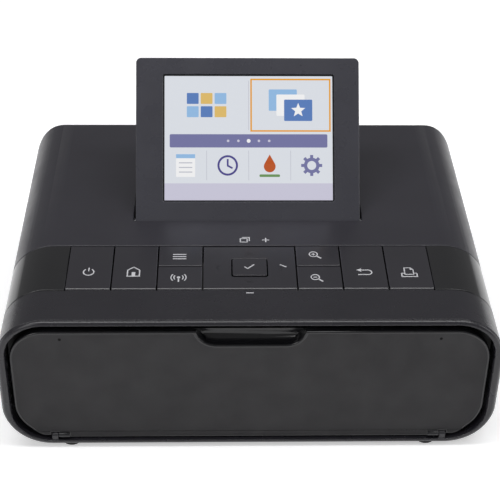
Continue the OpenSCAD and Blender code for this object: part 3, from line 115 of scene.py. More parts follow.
@dataclass(frozen=True)
class Finish:
    """A moulded, painted or metal finish with its own small variation.

    Args:
        name: name of the material.
        colour: linear base colour.
        roughness: mean roughness.
        grain: how the surface breaks up close to.
        metallic: 1 for bare metal.
        coat: weight of a clear gloss over the colour.
        glow: strength of the light that the surface gives off.
        drift: share by which the colour wanders over the surface.
        polish: share by which the roughness wanders over the surface.
        specular: strength of the surface's own reflection, 0.5 on plain plastic.
    """

    name: str
    colour: Colour
    roughness: float = 0.45
    grain: Grain = Grain.FINE
    metallic: float = 0.0
    coat: float = 0.0
    glow: float = 0.0
    drift: float = 0.06
    polish: float = 0.12
    specular: float = 0.5

    def material(self) -> bpy.types.Material:
        """Makes the node material once and hands the same one out afterwards.

        Returns:
            The material.
        """
        label = self.name + LOOK
        known = bpy.data.materials.get(label)
        if known:
            return known
        made = bpy.data.materials.new(label)
        made.use_nodes = True
        tree = made.node_tree
        shader = tree.nodes["Principled BSDF"]
        shader.inputs["Metallic"].default_value = self.metallic
        shader.inputs["Coat Weight"].default_value = self.coat
        shader.inputs["Coat Roughness"].default_value = COAT_ROUGHNESS
        shader.inputs["Specular IOR Level"].default_value = self.specular
        shader.inputs["Emission Color"].default_value = (*self.colour, 1)
        shader.inputs["Emission Strength"].default_value = self.glow
        place = tree.nodes.new("ShaderNodeTexCoord").outputs["Object"]
        if self.grain is Grain.BRUSHED:
            place = self._stretched(tree, place)
        self._wander_colour(tree, shader, place)
        self._wander_roughness(tree, shader, place)
        self._grain(tree, shader, place)
        return made

    def _stretched(self, tree: bpy.types.NodeTree,
                   place: bpy.types.NodeSocket) -> bpy.types.NodeSocket:
        """Draws the pattern out along X, as rolling and turning do.

        Args:
            tree: the material's nodes.
            place: the coordinates.

        Returns:
            The stretched coordinates.
        """
        mapping = tree.nodes.new("ShaderNodeMapping")
        mapping.inputs["Scale"].default_value = (BRUSHED_STRETCH, 1, 1)
        tree.links.new(place, mapping.inputs["Vector"])
        return mapping.outputs["Vector"]

    def _noise(self, tree: bpy.types.NodeTree, place: bpy.types.NodeSocket, scale: float,
               detail: float) -> bpy.types.NodeSocket:
        """Adds a noise pattern.

        Args:
            tree: the material's nodes.
            place: the coordinates.
            scale: pattern scale per metre.
            detail: octaves of detail.

        Returns:
            The pattern's value.
        """
        noise = tree.nodes.new("ShaderNodeTexNoise")
        noise.inputs["Scale"].default_value = scale
        noise.inputs["Detail"].default_value = detail
        tree.links.new(place, noise.inputs["Vector"])
        return noise.outputs["Fac"]

    def _spread(self, tree: bpy.types.NodeTree, value: bpy.types.NodeSocket, low: float,
                high: float) -> bpy.types.NodeSocket:
        """Maps a pattern from its usual middle range to low and high.

        Args:
            tree: the material's nodes.
            value: the pattern.
            low: result where the pattern is low.
            high: result where it is high.

        Returns:
            The mapped value.
        """
        spread = tree.nodes.new("ShaderNodeMapRange")
        ends = dict(zip(("From Min", "From Max", "To Min", "To Max"), (*NOISE_RANGE, low, high)))
        for end, level in ends.items():
            spread.inputs[end].default_value = level
        tree.links.new(value, spread.inputs["Value"])
        return spread.outputs["Result"]

    def _wander_colour(self, tree: bpy.types.NodeTree, shader: bpy.types.Node,
                       place: bpy.types.NodeSocket) -> None:
        """Lets the base colour wander a little, in broad patches.

        Args:
            tree: the material's nodes.
            shader: the surface shader.
            place: the coordinates.
        """
        mix = tree.nodes.new("ShaderNodeMix")
        mix.data_type = "RGBA"
        body = tuple(level * (LIT_BASE if self.glow else 1.0) for level in self.colour)
        darker = tuple(level * (1 - self.drift) for level in body)
        lighter = tuple(min(1.0, level * (1 + self.drift)) for level in body)
        mix.inputs["A"].default_value = (*darker, 1)
        mix.inputs["B"].default_value = (*lighter, 1)
        broad = self._noise(tree, place, *COLOUR_NOISE)
        tree.links.new(self._spread(tree, broad, 0.0, 1.0), mix.inputs["Factor"])
        tree.links.new(mix.outputs["Result"], shader.inputs["Base Color"])

    def _wander_roughness(self, tree: bpy.types.NodeTree, shader: bpy.types.Node,
                          place: bpy.types.NodeSocket) -> None:
        """Lets the roughness wander, as handling leaves it.

        Args:
            tree: the material's nodes.
            shader: the surface shader.
            place: the coordinates.
        """
        patches = self._noise(tree, place, *POLISH_NOISE)
        low = self.roughness * (1 - self.polish)
        high = min(1.0, self.roughness * (1 + self.polish))
        tree.links.new(self._spread(tree, patches, low, high), shader.inputs["Roughness"])

    def _grain(self, tree: bpy.types.NodeTree, shader: bpy.types.Node,
               place: bpy.types.NodeSocket) -> None:
        """Adds the fine relief of the moulded or rolled surface.

        Args:
            tree: the material's nodes.
            shader: the surface shader.
            place: the coordinates.
        """
        scale, depth = self.grain.value
        bump = tree.nodes.new("ShaderNodeBump")
        bump.inputs["Distance"].default_value = depth
        bump.inputs["Strength"].default_value = 1.0
        tree.links.new(self._noise(tree, place, scale, GRAIN_OCTAVES), bump.inputs["Height"])
        tree.links.new(bump.outputs["Normal"], shader.inputs["Normal"])


COVER = Finish("cover_charcoal", from_screen(46, 45, 51), 0.34, Grain.FINE, specular=0.4)
CASE = Finish("case_charcoal", from_screen(36, 35, 40), 0.27, Grain.SMOOTH)
DOOR_FACE = Finish("door_charcoal", from_screen(40, 39, 41), 0.55, Grain.TEXTURED, specular=0.3)
DOOR_EDGE = Finish("door_edge_black", from_screen(30, 30, 33), 0.16, Grain.SMOOTH)
GLOSS_BLACK = Finish("gloss_black", from_screen(30, 30, 32), 0.13, Grain.SMOOTH)
KEY_GLOSS = Finish("key_satin_black", from_screen(43, 42, 47), 0.22, Grain.SMOOTH)
BEZEL = Finish("display_charcoal", from_screen(60, 60, 67), 0.28, Grain.FINE)
# Near-black and barely reflecting: painted shade of the door's two small recesses.
DIMPLE_PAINTED_SHADE = Finish("dimple_painted_shade", from_screen(12, 12, 13), 0.5, Grain.SMOOTH, specular=0.1)
INNER_BLACK = Finish("inner_black", from_screen(26, 26, 28), 0.55, Grain.TEXTURED)
# White of the printed symbols; the same white also paints the highlight on the pad's right arrow.
PRINT_AND_HIGHLIGHT_WHITE = Finish("key_print_and_highlight_white", from_screen(196, 196, 200), 0.5, Grain.PRINTED, drift=0.02)
RUBBER = Finish("foot_rubber", from_screen(28, 28, 28), 0.8, Grain.TEXTURED)
STEEL_SHEET = Finish("sheet_steel", (0.52, 0.53, 0.55), 0.34, Grain.BRUSHED, metallic=1.0)
STEEL_SHAFT = Finish("shaft_steel", (0.50, 0.50, 0.52), 0.24, Grain.BRUSHED, metallic=1.0)
BRASS = Finish("pinion_brass", (0.72, 0.52, 0.22), 0.3, Grain.BRUSHED, metallic=1.0)
ALUMINIUM = Finish("head_aluminium", (0.68, 0.68, 0.69), 0.36, Grain.BRUSHED, metallic=1.0)
ACETAL = Finish("gear_acetal", from_screen(226, 222, 208), 0.38, Grain.SMOOTH)
CASSETTE = Finish("cassette_grey", from_screen(84, 88, 96), 0.45, Grain.FINE)
RIBBON = Finish("ribbon_film", (0.10, 0.02, 0.13), 0.12, Grain.SMOOTH, coat=0.5)
BOARD = Finish("board_green", (0.02, 0.12, 0.06), 0.4, Grain.SMOOTH, coat=0.3)
# Darker than the keys: painted shade of the pad's raised arrows.
ARROW_PAINTED_SHADE = Finish("pad_arrow_painted_shade", from_screen(26, 26, 29), 0.3, Grain.SMOOTH)


# ---------------------------------------------------------------- the bench


def as_mesh(name: str, shape: bmesh.types.BMesh) -> bpy.types.Mesh:
    """Turns a shape into a mesh and frees it.

    Args:
        name: name of the mesh.
        shape: the shape.

    Returns:
        The mesh.
    """
    mesh = bpy.data.meshes.new(name)
    shape.to_mesh(mesh)
    shape.free()
    return mesh


def cad_copy(node: str) -> bmesh.types.BMesh:
    """Copies a CAD node's mesh and joins its loose triangles into whole faces.

    Args:
        node: name of the node.

    Returns:
        The copy.
    """
    shape = bmesh.new()
    shape.from_mesh(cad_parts[node].data)
    bmesh.ops.remove_doubles(shape, verts=shape.verts, dist=WELD_M)
    bmesh.ops.dissolve_limit(shape, angle_limit=math.radians(FLAT_DEG),
                             use_dissolve_boundaries=False, verts=shape.verts,
                             edges=shape.edges, delimit=set())
    bmesh.ops.dissolve_degenerate(shape, dist=SHORT_M, edges=shape.edges)
    return shape


def bake(name: str, shape: bmesh.types.BMesh, finish: Finish, body: str,
         place: Matrix) -> None:
    """Turns a shape drawn in millimetres into a piece that rides on a body.

    Args:
        name: name of the piece.
        shape: the shape in millimetres, which is freed.
        finish: its finish.
        body: body that it rides on.
        place: from the shape's own drawing to the printer, in millimetres.
    """
    bmesh.ops.transform(shape, matrix=place, verts=shape.verts)
    bmesh.ops.scale(shape, vec=(MM, MM, MM), verts=shape.verts)
    bmesh.ops.recalc_face_normals(shape, faces=shape.faces)
    enlist(name, as_mesh(name, shape), [finish], body)


def enlist(name: str, mesh: bpy.types.Mesh, finishes: list[Finish], body: str) -> bpy.types.Object:
    """Links a finished mesh as a piece, smooths it and dresses it.

    Args:
        name: name of the piece.
        mesh: its mesh in metres, in the printer's frame.
        finishes: its finishes, in the order of the mesh's material numbers.
        body: body that it rides on.

    Returns:
        The piece.
    """
    piece = bpy.data.objects.new(name, mesh)
    bpy.context.scene.collection.objects.link(piece)
    for finish in finishes:
        mesh.materials.append(finish.material())
    mesh.shade_smooth()
    mesh.set_sharp_from_angle(angle=math.radians(SMOOTH_DEG))
    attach(piece, body)
    LOG.info("%s: %d faces on %s", name, len(mesh.polygons), body)
    return piece


@dataclass(frozen=True)
class Plane:
    """A face to draw on: u runs across it, v up it and w out of it, in millimetres."""

    matrix: Matrix

    def raised(self, u_mm: float, v_mm: float, w_mm: float = 0.0) -> Matrix:
        """The plane moved along itself.

        Args:
            u_mm: distance across.
            v_mm: distance up the face.
            w_mm: distance out of it.

        Returns:
            The moved plane's matrix.
        """
        return self.matrix @ Matrix.Translation((u_mm, v_mm, w_mm))


@dataclass
class Layout:
    """The printer's main planes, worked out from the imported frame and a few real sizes."""

    top_front_mm: float = 58.6
    top_rise_mm: float = 4.2
    raise_deg: float = 50.5
    hinge_y_mm: float = 63.8
    hinge_sink_mm: float = 2.0
    low: Vector = field(init=False)
    high: Vector = field(init=False)

    def __post_init__(self) -> None:
        """Reads the case's depth from the fixed shells."""
        self.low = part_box("front_frame")[0] / MM
        self.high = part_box("rear_cover")[1] / MM

    @property
    def depth_mm(self) -> float:
        """Depth of the case."""
        return self.high.y - self.low.y

    @property
    def tilt(self) -> float:
        """Slope of the top face, in radians."""
        return math.atan(self.top_rise_mm / self.depth_mm)

    @property
    def top(self) -> Plane:
        """The sloping top face, from its front edge."""
        start = Matrix.Translation((0, self.low.y, self.top_front_mm))
        return Plane(start @ Matrix.Rotation(self.tilt, 4, "X"))

    @property
    def panel(self) -> Plane:
        """The raised display, from its hinge axis; w is measured from that axis."""
        up_the_top = self.hinge_y_mm / math.cos(self.tilt)
        hinge = self.top.raised(0, up_the_top, -self.hinge_sink_mm)
        return Plane(hinge @ Matrix.Rotation(math.radians(self.raise_deg), 4, "X"))

    @property
    def front(self) -> Plane:
        """The front face: u across, v up from the table and w towards the front."""
        return Plane(Matrix.Translation((0, self.low.y, 0)) @ Matrix.Rotation(math.pi / 2, 4, "X"))


class Stencil:
    """Draws flat marks and gives them the thickness of print or of a plate.

    Shapes are added one by one in the plane of the drawing, and raise_all makes them solid.
    """

    def __init__(self) -> None:
        """Starts an empty drawing."""
        self.shape = bmesh.new()

    def _placed(self, made: dict, matrix: Matrix) -> list[bmesh.types.BMVert]:
        """Moves newly made vertices.

        Args:
            made: what a create operator returned.
            matrix: where they go.

        Returns:
            The vertices.
        """
        bmesh.ops.transform(self.shape, matrix=matrix, verts=made["verts"])
        return made["verts"]

    def bar(self, start: Point2, end: Point2, width: float) -> None:
        """Adds a straight stroke.

        Args:
            start: middle of its first end.
            end: middle of its last end.
            width: its width.
        """
        run = Vector(end) - Vector(start)
        middle = (Vector(end) + Vector(start)) / 2
        turn = Matrix.Rotation(math.atan2(run.y, run.x), 4, "Z")
        size = Matrix.Diagonal((run.length, width, 1, 1))
        made = bmesh.ops.create_grid(self.shape, x_segments=1, y_segments=1, size=0.5)
        self._placed(made, Matrix.Translation((*middle, 0)) @ turn @ size)

    def box(self, centre: Point2, width: float, height: float, corner: float = 0.0) -> None:
        """Adds an upright rectangle, with round corners if they are given a radius.

        Args:
            centre: its middle.
            width: its width.
            height: its height.
            corner: radius of its corners.
        """
        made = bmesh.ops.create_grid(self.shape, x_segments=1, y_segments=1, size=0.5)
        place = Matrix.Translation((*centre, 0)) @ Matrix.Diagonal((width, height, 1, 1))
        verts = self._placed(made, place)
        if corner:
            bmesh.ops.bevel(self.shape, geom=verts, offset=corner, offset_type="OFFSET",
                            segments=ROUND_STEPS, profile=ROUND_PROFILE, affect="VERTICES",
                            material=-1)

    def disc(self, centre: Point2, radius: float, steps: int = 28) -> None:
        """Adds a filled circle.

        Args:
            centre: its middle.
            radius: its radius.
            steps: number of sides.
        """
        made = bmesh.ops.create_circle(self.shape, cap_ends=True, segments=steps, radius=radius)
        self._placed(made, Matrix.Translation((*centre, 0)))

    def arc(self, centre: Point2, radius: float, width: float, start_deg: float, end_deg: float,
            steps: int = 24) -> None:
        """Adds a curved stroke.

        Args:
            centre: centre of the curve.
            radius: radius of the stroke's middle line.
            width: width of the stroke.
            start_deg: angle of its first end.
            end_deg: angle of its last end.
            steps: number of pieces along it.
        """
        first = Matrix.Rotation(math.radians(start_deg), 3, "Z")
        ends = [first @ Vector((radius + side * width / 2, 0, 0)) + Vector((*centre, 0))
                for side in (-1, 1)]
        verts = [self.shape.verts.new(end) for end in ends]
        edge = self.shape.edges.new(verts)
        sweep = math.radians(end_deg - start_deg)
        whole = end_deg - start_deg >= 360
        bmesh.ops.spin(self.shape, geom=[*verts, edge], cent=(*centre, 0), axis=(0, 0, 1),
                       angle=sweep, steps=steps, use_merge=whole, use_duplicate=False)

    def patch(self, corners: list[Point2]) -> None:
        """Adds a filled outline.

        Args:
            corners: its corners in order.
        """
        self.shape.faces.new([self.shape.verts.new((*corner, 0)) for corner in corners])

    def raise_all(self, thickness: float) -> bmesh.types.BMesh:
        """Makes every mark solid and hands the shape over.

        Args:
            thickness: how far the marks stand out of the plane.

        Returns:
            The shape.
        """
        made = bmesh.ops.extrude_face_region(self.shape, geom=list(self.shape.faces),
                                             use_keep_orig=True)
        lifted = [item for item in made["geom"] if isinstance(item, bmesh.types.BMVert)]
        bmesh.ops.translate(self.shape, vec=(0, 0, thickness), verts=lifted)
        return self.shape


@dataclass
class Moulding:
    """A shell or cap that keeps its CAD shape and gets eased edges.

    Args:
        node: the CAD node.
        body: body that it rides on.
        finish: its finish.
        slot: the record's slot; not used.
        edge_mm: radius of the eased edges.
        segments: number of strips across such an edge.
    """

    node: str
    body: str
    finish: Finish
    slot: str
    edge_mm: float = 0.25
    segments: int = 2

    def build(self) -> None:
        """Copies the node's mesh, eases its edges and lets it stand for the node."""
        name = self.node + "_shell"
        mesh = as_mesh(name, cad_copy(self.node))
        piece = enlist(name, mesh, [self.finish], self.body)
        self._ease_edges(piece)
        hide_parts(self.node)

    def _ease_edges(self, piece: bpy.types.Object) -> None:
        """Rounds every sharp edge of a piece a little, as a mould does.

        Args:
            piece: the piece.
        """
        bevel = piece.modifiers.new("eased_edges", "BEVEL")
        bevel.width = self.edge_mm * MM
        bevel.segments = self.segments
        bevel.limit_method = "ANGLE"
        bevel.angle_limit = math.radians(SHARP_DEG)
        bevel.use_clamp_overlap = False
        bevel.miter_outer = "MITER_ARC"
        even = piece.modifiers.new("even_shading", "WEIGHTED_NORMAL")
        even.mode = "FACE_AREA"
        even.weight = EVEN_WEIGHT
        even.keep_sharp = True


# ---------------------------------------------------------------- case and door


@dataclass
class CaseShells:
    """The fixed outer shells and the ink door."""

    edge_mm: float = 0.3
    frame_edge_mm: float = 0.25
    band_edge_mm: float = 0.2

    def build(self) -> None:
        """Makes every shell."""
        shells = [
            Moulding("front_frame", "base", CASE, "case_charcoal", self.frame_edge_mm),
            Moulding("control_band", "base", GLOSS_BLACK, "gloss_black", self.band_edge_mm),
            Moulding("top_cover", "base", COVER, "cover_charcoal", self.edge_mm),
            Moulding("lower_case", "base", CASE, "case_charcoal", self.edge_mm),
            Moulding("rear_cover", "base", CASE, "case_charcoal", self.edge_mm),
            Moulding("ink_door", "ink_door", CASE, "case_charcoal", self.edge_mm),
        ]
        for shell in shells:
            shell.build()


@dataclass
class FrontDoor:
    """The hinged front door: a matte face inside a gloss edge, with two small dimples whose shade
    is painted.
    """

    edge_mm: float = 0.8
    hinge_clear_mm: float = 6.6
    facing: float = 0.99
    face_area_m2: float = 0.002
    face_inset_mm: float = 0.25
    face_sink_mm: float = 0.08
    dimple_u_mm: float = 67.5
    dimple_v_mm: float = 50.0
    dimple_r_mm: float = 0.55
    dimple_mm: float = 0.03
    face_y: float = field(init=False, default=0.0)

    def build(self, layout: Layout) -> None:
        """Makes the door and its dimples.

        Args:
            layout: the printer's planes.
        """
        self._plate()
        self._dimples(layout)

    def _plate(self) -> None:
        """Copies the door and parts its face into a gloss edge and a matte field."""
        shape = cad_copy("front_door")
        rim = [edge for face in self._front(shape) for edge in face.edges if self._is_rim(edge)]
        bmesh.ops.bevel(shape, geom=rim, offset=self.edge_mm * MM, offset_type="OFFSET",
                        segments=ROUND_STEPS, profile=ROUND_PROFILE, affect="EDGES",
                        clamp_overlap=False, material=-1)
        front = self._front(shape)
        self.face_y = front[0].calc_center_median().y
        bmesh.ops.inset_region(shape, faces=front, thickness=self.face_inset_mm * MM,
                               depth=-self.face_sink_mm * MM, use_even_offset=True)
        for face in front:
            face.material_index = 1
        mesh = as_mesh("front_door_panel", shape)
        piece = enlist("front_door_panel", mesh, [DOOR_EDGE, DOOR_FACE], "front_door")
        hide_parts("front_door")

    def _front(self, shape: bmesh.types.BMesh) -> list[bmesh.types.BMFace]:
        """Finds the flat front face.

        Args:
            shape: the door.

        Returns:
            Its front faces.
        """
        return [face for face in shape.faces
                if face.normal.y < -self.facing and face.calc_area() > self.face_area_m2]

    def _is_rim(self, edge: bmesh.types.BMEdge) -> bool:
        """Tells whether an edge of the front face is rounded: all but the part round the hinge.

        Args:
            edge: the edge.

        Returns:
            Whether it is rounded.
        """
        return min(vert.co.z for vert in edge.verts) > self.hinge_clear_mm * MM

    def _dimples(self, layout: Layout) -> None:
        """Makes the two dimples near the upper corners as thin near-black discs: painted shade of
        their recesses.

        Args:
            layout: the printer's planes.
        """
        marks = Stencil()
        for side in (-1, 1):
            marks.disc((side * self.dimple_u_mm, self.dimple_v_mm), self.dimple_r_mm)
        face_mm = self.face_y / MM - layout.low.y
        place = layout.front.raised(0, 0, -face_mm - self.face_sink_mm)
        # Each disc stands where a real recess is, and its dark colour is painted shade.
        bake("door_dimples_painted_shade", marks.raise_all(self.dimple_mm), DIMPLE_PAINTED_SHADE, "front_door",
             place)


# ---------------------------------------------------------------- keys and their marks


class Mark(Enum):
    """The generic symbols printed on the keys and beside them."""

    POWER = "power"
    HOUSE = "house"
    LINES = "lines"
    WAVES = "waves"
    TICK = "tick"
    LENS_PLUS = "lens_plus"
    LENS_MINUS = "lens_minus"
    RETURN = "return"
    SHEET_TRAY = "sheet_tray"
    PLUS = "plus"
    MINUS = "minus"
    SHEETS = "sheets"


@dataclass
class MarkSet:
    """Draws each symbol round its own middle, in millimetres."""

    stroke_mm: float = 0.46
    fine_mm: float = 0.4
    print_mm: float = 0.03
    pen: Stencil = field(default_factory=Stencil)

    def draw(self, mark: Mark) -> Stencil:
        """Draws one symbol.

        Args:
            mark: which symbol.

        Returns:
            The drawing.
        """
        self.pen = Stencil()
        getattr(self, "_" + mark.value)()
        return self.pen

    def _power(self) -> None:
        """A ring open at its top, with an upright stroke."""
        self.pen.arc((0, -0.2), 1.9, self.stroke_mm, 125, 415, 28)
        self.pen.bar((0, 0.3), (0, 2.4), self.stroke_mm)

    def _house(self) -> None:
        """A gabled house with a door."""
        half, eaves, ridge, floor = 2.2, 0.9, 2.9, -2.6
        self.pen.bar((-half, floor), (-half, eaves), self.stroke_mm)
        self.pen.bar((half, floor), (half, eaves), self.stroke_mm)
        self.pen.bar((-half - 0.27, floor), (half + 0.27, floor), self.stroke_mm)
        self.pen.bar((-half - 0.2, eaves - 0.1), (0.1, ridge), self.stroke_mm)
        self.pen.bar((half + 0.2, eaves - 0.1), (-0.1, ridge), self.stroke_mm)
        self.pen.box((0, floor + 1.3), 1.3, 2.2)

    def _lines(self) -> None:
        """Three level strokes."""
        for level in (-1.35, 0, 1.35):
            self.pen.bar((-2.5, level), (2.5, level), self.stroke_mm)

    def _waves(self) -> None:
        """A mast with two waves on each side."""
        self.pen.disc((0, 0.3), 0.62, 20)
        self.pen.bar((0, 0.2), (0, -2.3), self.fine_mm + 0.1)
        for radius in (1.7, 2.75):
            for middle in (0, 180):
                self.pen.arc((0, 0.3), radius, self.fine_mm, middle - 42, middle + 42, 14)

    def _tick(self) -> None:
        """A tick."""
        self.pen.bar((-1.7, 0.1), (-0.45, -1.15), self.stroke_mm)
        self.pen.bar((-0.64, -1.15), (1.9, 1.4), self.stroke_mm)

    def _lens_minus(self) -> None:
        """A magnifying glass with a minus."""
        self.pen.arc((-0.65, 0.45), 1.5, self.fine_mm, 0, 360, 30)
        self.pen.bar((0.45, -0.6), (2.1, -2.1), self.stroke_mm + 0.1)
        self.pen.bar((-1.35, 0.45), (0.05, 0.45), self.fine_mm)

    def _lens_plus(self) -> None:
        """A magnifying glass with a plus."""
        self._lens_minus()
        self.pen.bar((-0.65, -0.25), (-0.65, 1.15), self.fine_mm)

    def _return(self) -> None:
        """An arrow that turns back to the left."""
        upper, lower, turn = 1.35, -1.35, 1.4
        self.pen.patch([(-2.8, upper), (-1.0, upper + 1.05), (-1.0, upper - 1.05)])
        self.pen.bar((-1.1, upper), (turn, upper), self.stroke_mm)
        self.pen.bar((-2.3, lower), (turn, lower), self.stroke_mm)
        self.pen.arc((turn, 0), upper, self.stroke_mm, -90, 90, 16)

    def _sheet_tray(self) -> None:
        """A sheet with a folded corner over an open tray."""
        half, low, lip = 2.8, -2.6, -0.6
        self.pen.bar((-half, low), (half, low), self.stroke_mm)
        for side in (-1, 1):
            self.pen.bar((side * half, low - 0.27), (side * half, lip), self.stroke_mm)
            self.pen.bar((side * half, lip), (side * (half - 1.1), lip), self.fine_mm)
        self.pen.bar((-1.6, -1.3), (-1.6, 2.6), self.fine_mm)
        self.pen.bar((-1.8, 2.6), (0.6, 2.6), self.fine_mm)
        self.pen.bar((0.5, 2.7), (1.7, 1.5), self.fine_mm)
        self.pen.bar((1.6, 1.6), (1.6, -1.3), self.fine_mm)
        self.pen.bar((-1.8, -1.3), (1.8, -1.3), self.fine_mm)
        self.pen.patch([(0.5, 2.5), (0.5, 1.5), (1.5, 1.5)])

    def _plus(self) -> None:
        """A plus."""
        self.pen.bar((-1.35, 0), (1.35, 0), self.stroke_mm)
        self.pen.bar((0, -1.35), (0, 1.35), self.stroke_mm)

    def _minus(self) -> None:
        """A minus."""
        self.pen.bar((-1.4, 0), (1.4, 0), self.stroke_mm)

    def _sheets(self) -> None:
        """Two sheets, one behind the other."""
        width, height, shift, end = 2.6, 2.2, 0.8, self.fine_mm / 2
        for level in (0.0, shift):
            left, right = level - width / 2, level + width / 2
            low, high = level - height / 2, level + height / 2
            self.pen.bar((left - end, high), (right + end, high), self.fine_mm)
            self.pen.bar((right, low - end), (right, high), self.fine_mm)
            if level < shift:
                self.pen.bar((left, low), (left, high), self.fine_mm)
                self.pen.bar((left - end, low), (right + end, low), self.fine_mm)


@dataclass(frozen=True)
class PrintedMark:
    """Where one symbol lies: its name, body and middle on the top face, in millimetres."""

    name: str
    mark: Mark
    body: str
    u_mm: float
    v_mm: float
    w_mm: float = 0.0


@dataclass
class ControlPanel:
    """The nine keys, the navigation pad, everything printed on and beside them, and the pad's
    painted arrow shade and painted highlight.
    """

    edge_mm: float = 0.2
    nav_v_mm: float = 31.7
    # Reach, half size, width and thickness of the pad's arrows, which are drawn in painted shade.
    arrow_reach_mm: Point2 = (11.6, 8.3)
    arrow_half_mm: Point2 = (1.5, 0.55)
    arrow_width_mm: float = 0.5
    arrow_shade_mm: float = 0.02
    # Place, half size and width of the white stroke: a painted highlight on the right arrow's
    # edge.
    highlight_at_mm: Point2 = (12.4, 32.7)
    highlight_half_mm: Point2 = (1.2, 0.75)
    highlight_width_mm: float = 0.42
    ok_proud_mm: float = 0.3
    sunk_mm: float = 0.012
    keys: tuple[str, ...] = ("power_key", "home_key", "menu_key", "wireless_key", "zoom_in_key",
                             "zoom_out_key", "back_key", "print_key", "ok_key", "nav_pad")

    def marks(self) -> list[PrintedMark]:
        """Lists every printed symbol.

        Returns:
            The symbols with their places.
        """
        return [
            PrintedMark("power_mark", Mark.POWER, "power_key", -58.9, 29.3),
            PrintedMark("home_mark", Mark.HOUSE, "home_key", -42.5, 29.2),
            PrintedMark("menu_mark", Mark.LINES, "menu_key", -25.9, 38.4),
            PrintedMark("wireless_mark", Mark.WAVES, "wireless_key", -26.0, 25.5),
            PrintedMark("ok_mark", Mark.TICK, "ok_key", -0.2, self.nav_v_mm, self.ok_proud_mm),
            PrintedMark("zoom_in_mark", Mark.LENS_PLUS, "zoom_in_key", 24.6, 39.3),
            PrintedMark("zoom_out_mark", Mark.LENS_MINUS, "zoom_out_key", 24.5, 25.4),
            PrintedMark("back_mark", Mark.RETURN, "back_key", 42.0, 28.7),
            PrintedMark("print_mark", Mark.SHEET_TRAY, "print_key", 58.5, 28.7),
            PrintedMark("minus_mark", Mark.MINUS, "base", -0.2, 16.7),
            PrintedMark("plus_mark", Mark.PLUS, "base", 6.4, 48.8),
            PrintedMark("copies_mark", Mark.SHEETS, "base", -1.9, 48.6),
        ]

    def build(self, layout: Layout) -> None:
        """Makes the keys and prints their symbols.

        Args:
            layout: the printer's planes.
        """
        for key in self.keys:
            Moulding(key, key, KEY_GLOSS, "gloss_black", self.edge_mm).build()
        pens = MarkSet()
        for item in self.marks():
            place = layout.top.raised(item.u_mm, item.v_mm, item.w_mm - self.sunk_mm)
            shape = pens.draw(item.mark).raise_all(pens.print_mm)
            bake(item.name, shape, PRINT_AND_HIGHLIGHT_WHITE, item.body, place)
        self._arrows(layout)

    def _arrows(self, layout: Layout) -> None:
        """Makes the pad's arrows in dark print, which is painted shade of their relief, and the
        white stroke at its right, a painted highlight on the right arrow's edge.

        Args:
            layout: the printer's planes.
        """
        faint, light = Stencil(), Stencil()
        reach_u, reach_v = self.arrow_reach_mm
        half, rise = self.arrow_half_mm
        for turn, reach in ((0, reach_v), (90, reach_u), (180, reach_v), (270, reach_u)):
            ahead = Vector((-math.sin(math.radians(turn)), math.cos(math.radians(turn))))
            across = Vector((ahead.y, -ahead.x))
            tip = ahead * (reach + rise)
            for side in (-1, 1):
                foot = ahead * (reach - rise) + across * (side * half)
                faint.bar(tuple(tip), tuple(foot), self.arrow_width_mm)
        end_u, end_v = self.highlight_half_mm
        light.bar((-end_u, end_v), (end_u, -end_v), self.highlight_width_mm)
        middle = layout.top.raised(0, self.nav_v_mm, -self.sunk_mm)
        right = layout.top.raised(*self.highlight_at_mm, -self.sunk_mm)
        # The arrows' dark colour is painted shade of their relief, and the white stroke is a
        # painted highlight.
        bake("pad_arrows", faint.raise_all(self.arrow_shade_mm), ARROW_PAINTED_SHADE, "nav_pad",
             middle)
        bake("pad_right_painted_highlight", light.raise_all(MarkSet.print_mm), PRINT_AND_HIGHLIGHT_WHITE, "nav_pad",
             right)


# ---------------------------------------------------------------- display


def lit(name: str, red: int, green: int, blue: int) -> Finish:
    """Finish of something that the display shows.

    Args:
        name: name of the material.
        red: red from 0 to 255.
        green: green from 0 to 255.
        blue: blue from 0 to 255.

    Returns:
        The finish.
    """
    return Finish(name, from_screen(red, green, blue), 0.12, Grain.SMOOTH, glow=LIT_GLOW,
                  drift=0.01)


SCREEN_PALE = lit("screen_pale", 224, 228, 235)
SCREEN_STRIP = lit("screen_strip", 205, 203, 221)
SCREEN_SLATE = lit("screen_slate", 119, 120, 165)
SCREEN_LINE = lit("screen_line", 190, 192, 204)
SCREEN_ORANGE = lit("screen_orange", 236, 162, 36)
SCREEN_WHITE = lit("screen_white", 247, 247, 248)
SCREEN_BLUE = lit("screen_blue", 92, 128, 190)
SCREEN_SKY = lit("screen_sky", 150, 190, 230)
SCREEN_INDIGO = lit("screen_indigo", 78, 72, 140)
SCREEN_SAND = lit("screen_sand", 226, 190, 110)
SCREEN_RUST = lit("screen_rust", 190, 88, 40)
SCREEN_LEAF = lit("screen_leaf", 110, 150, 92)
SCREEN_DARK = Finish("screen_border", from_screen(10, 10, 16), 0.1, Grain.SMOOTH, coat=0.6)


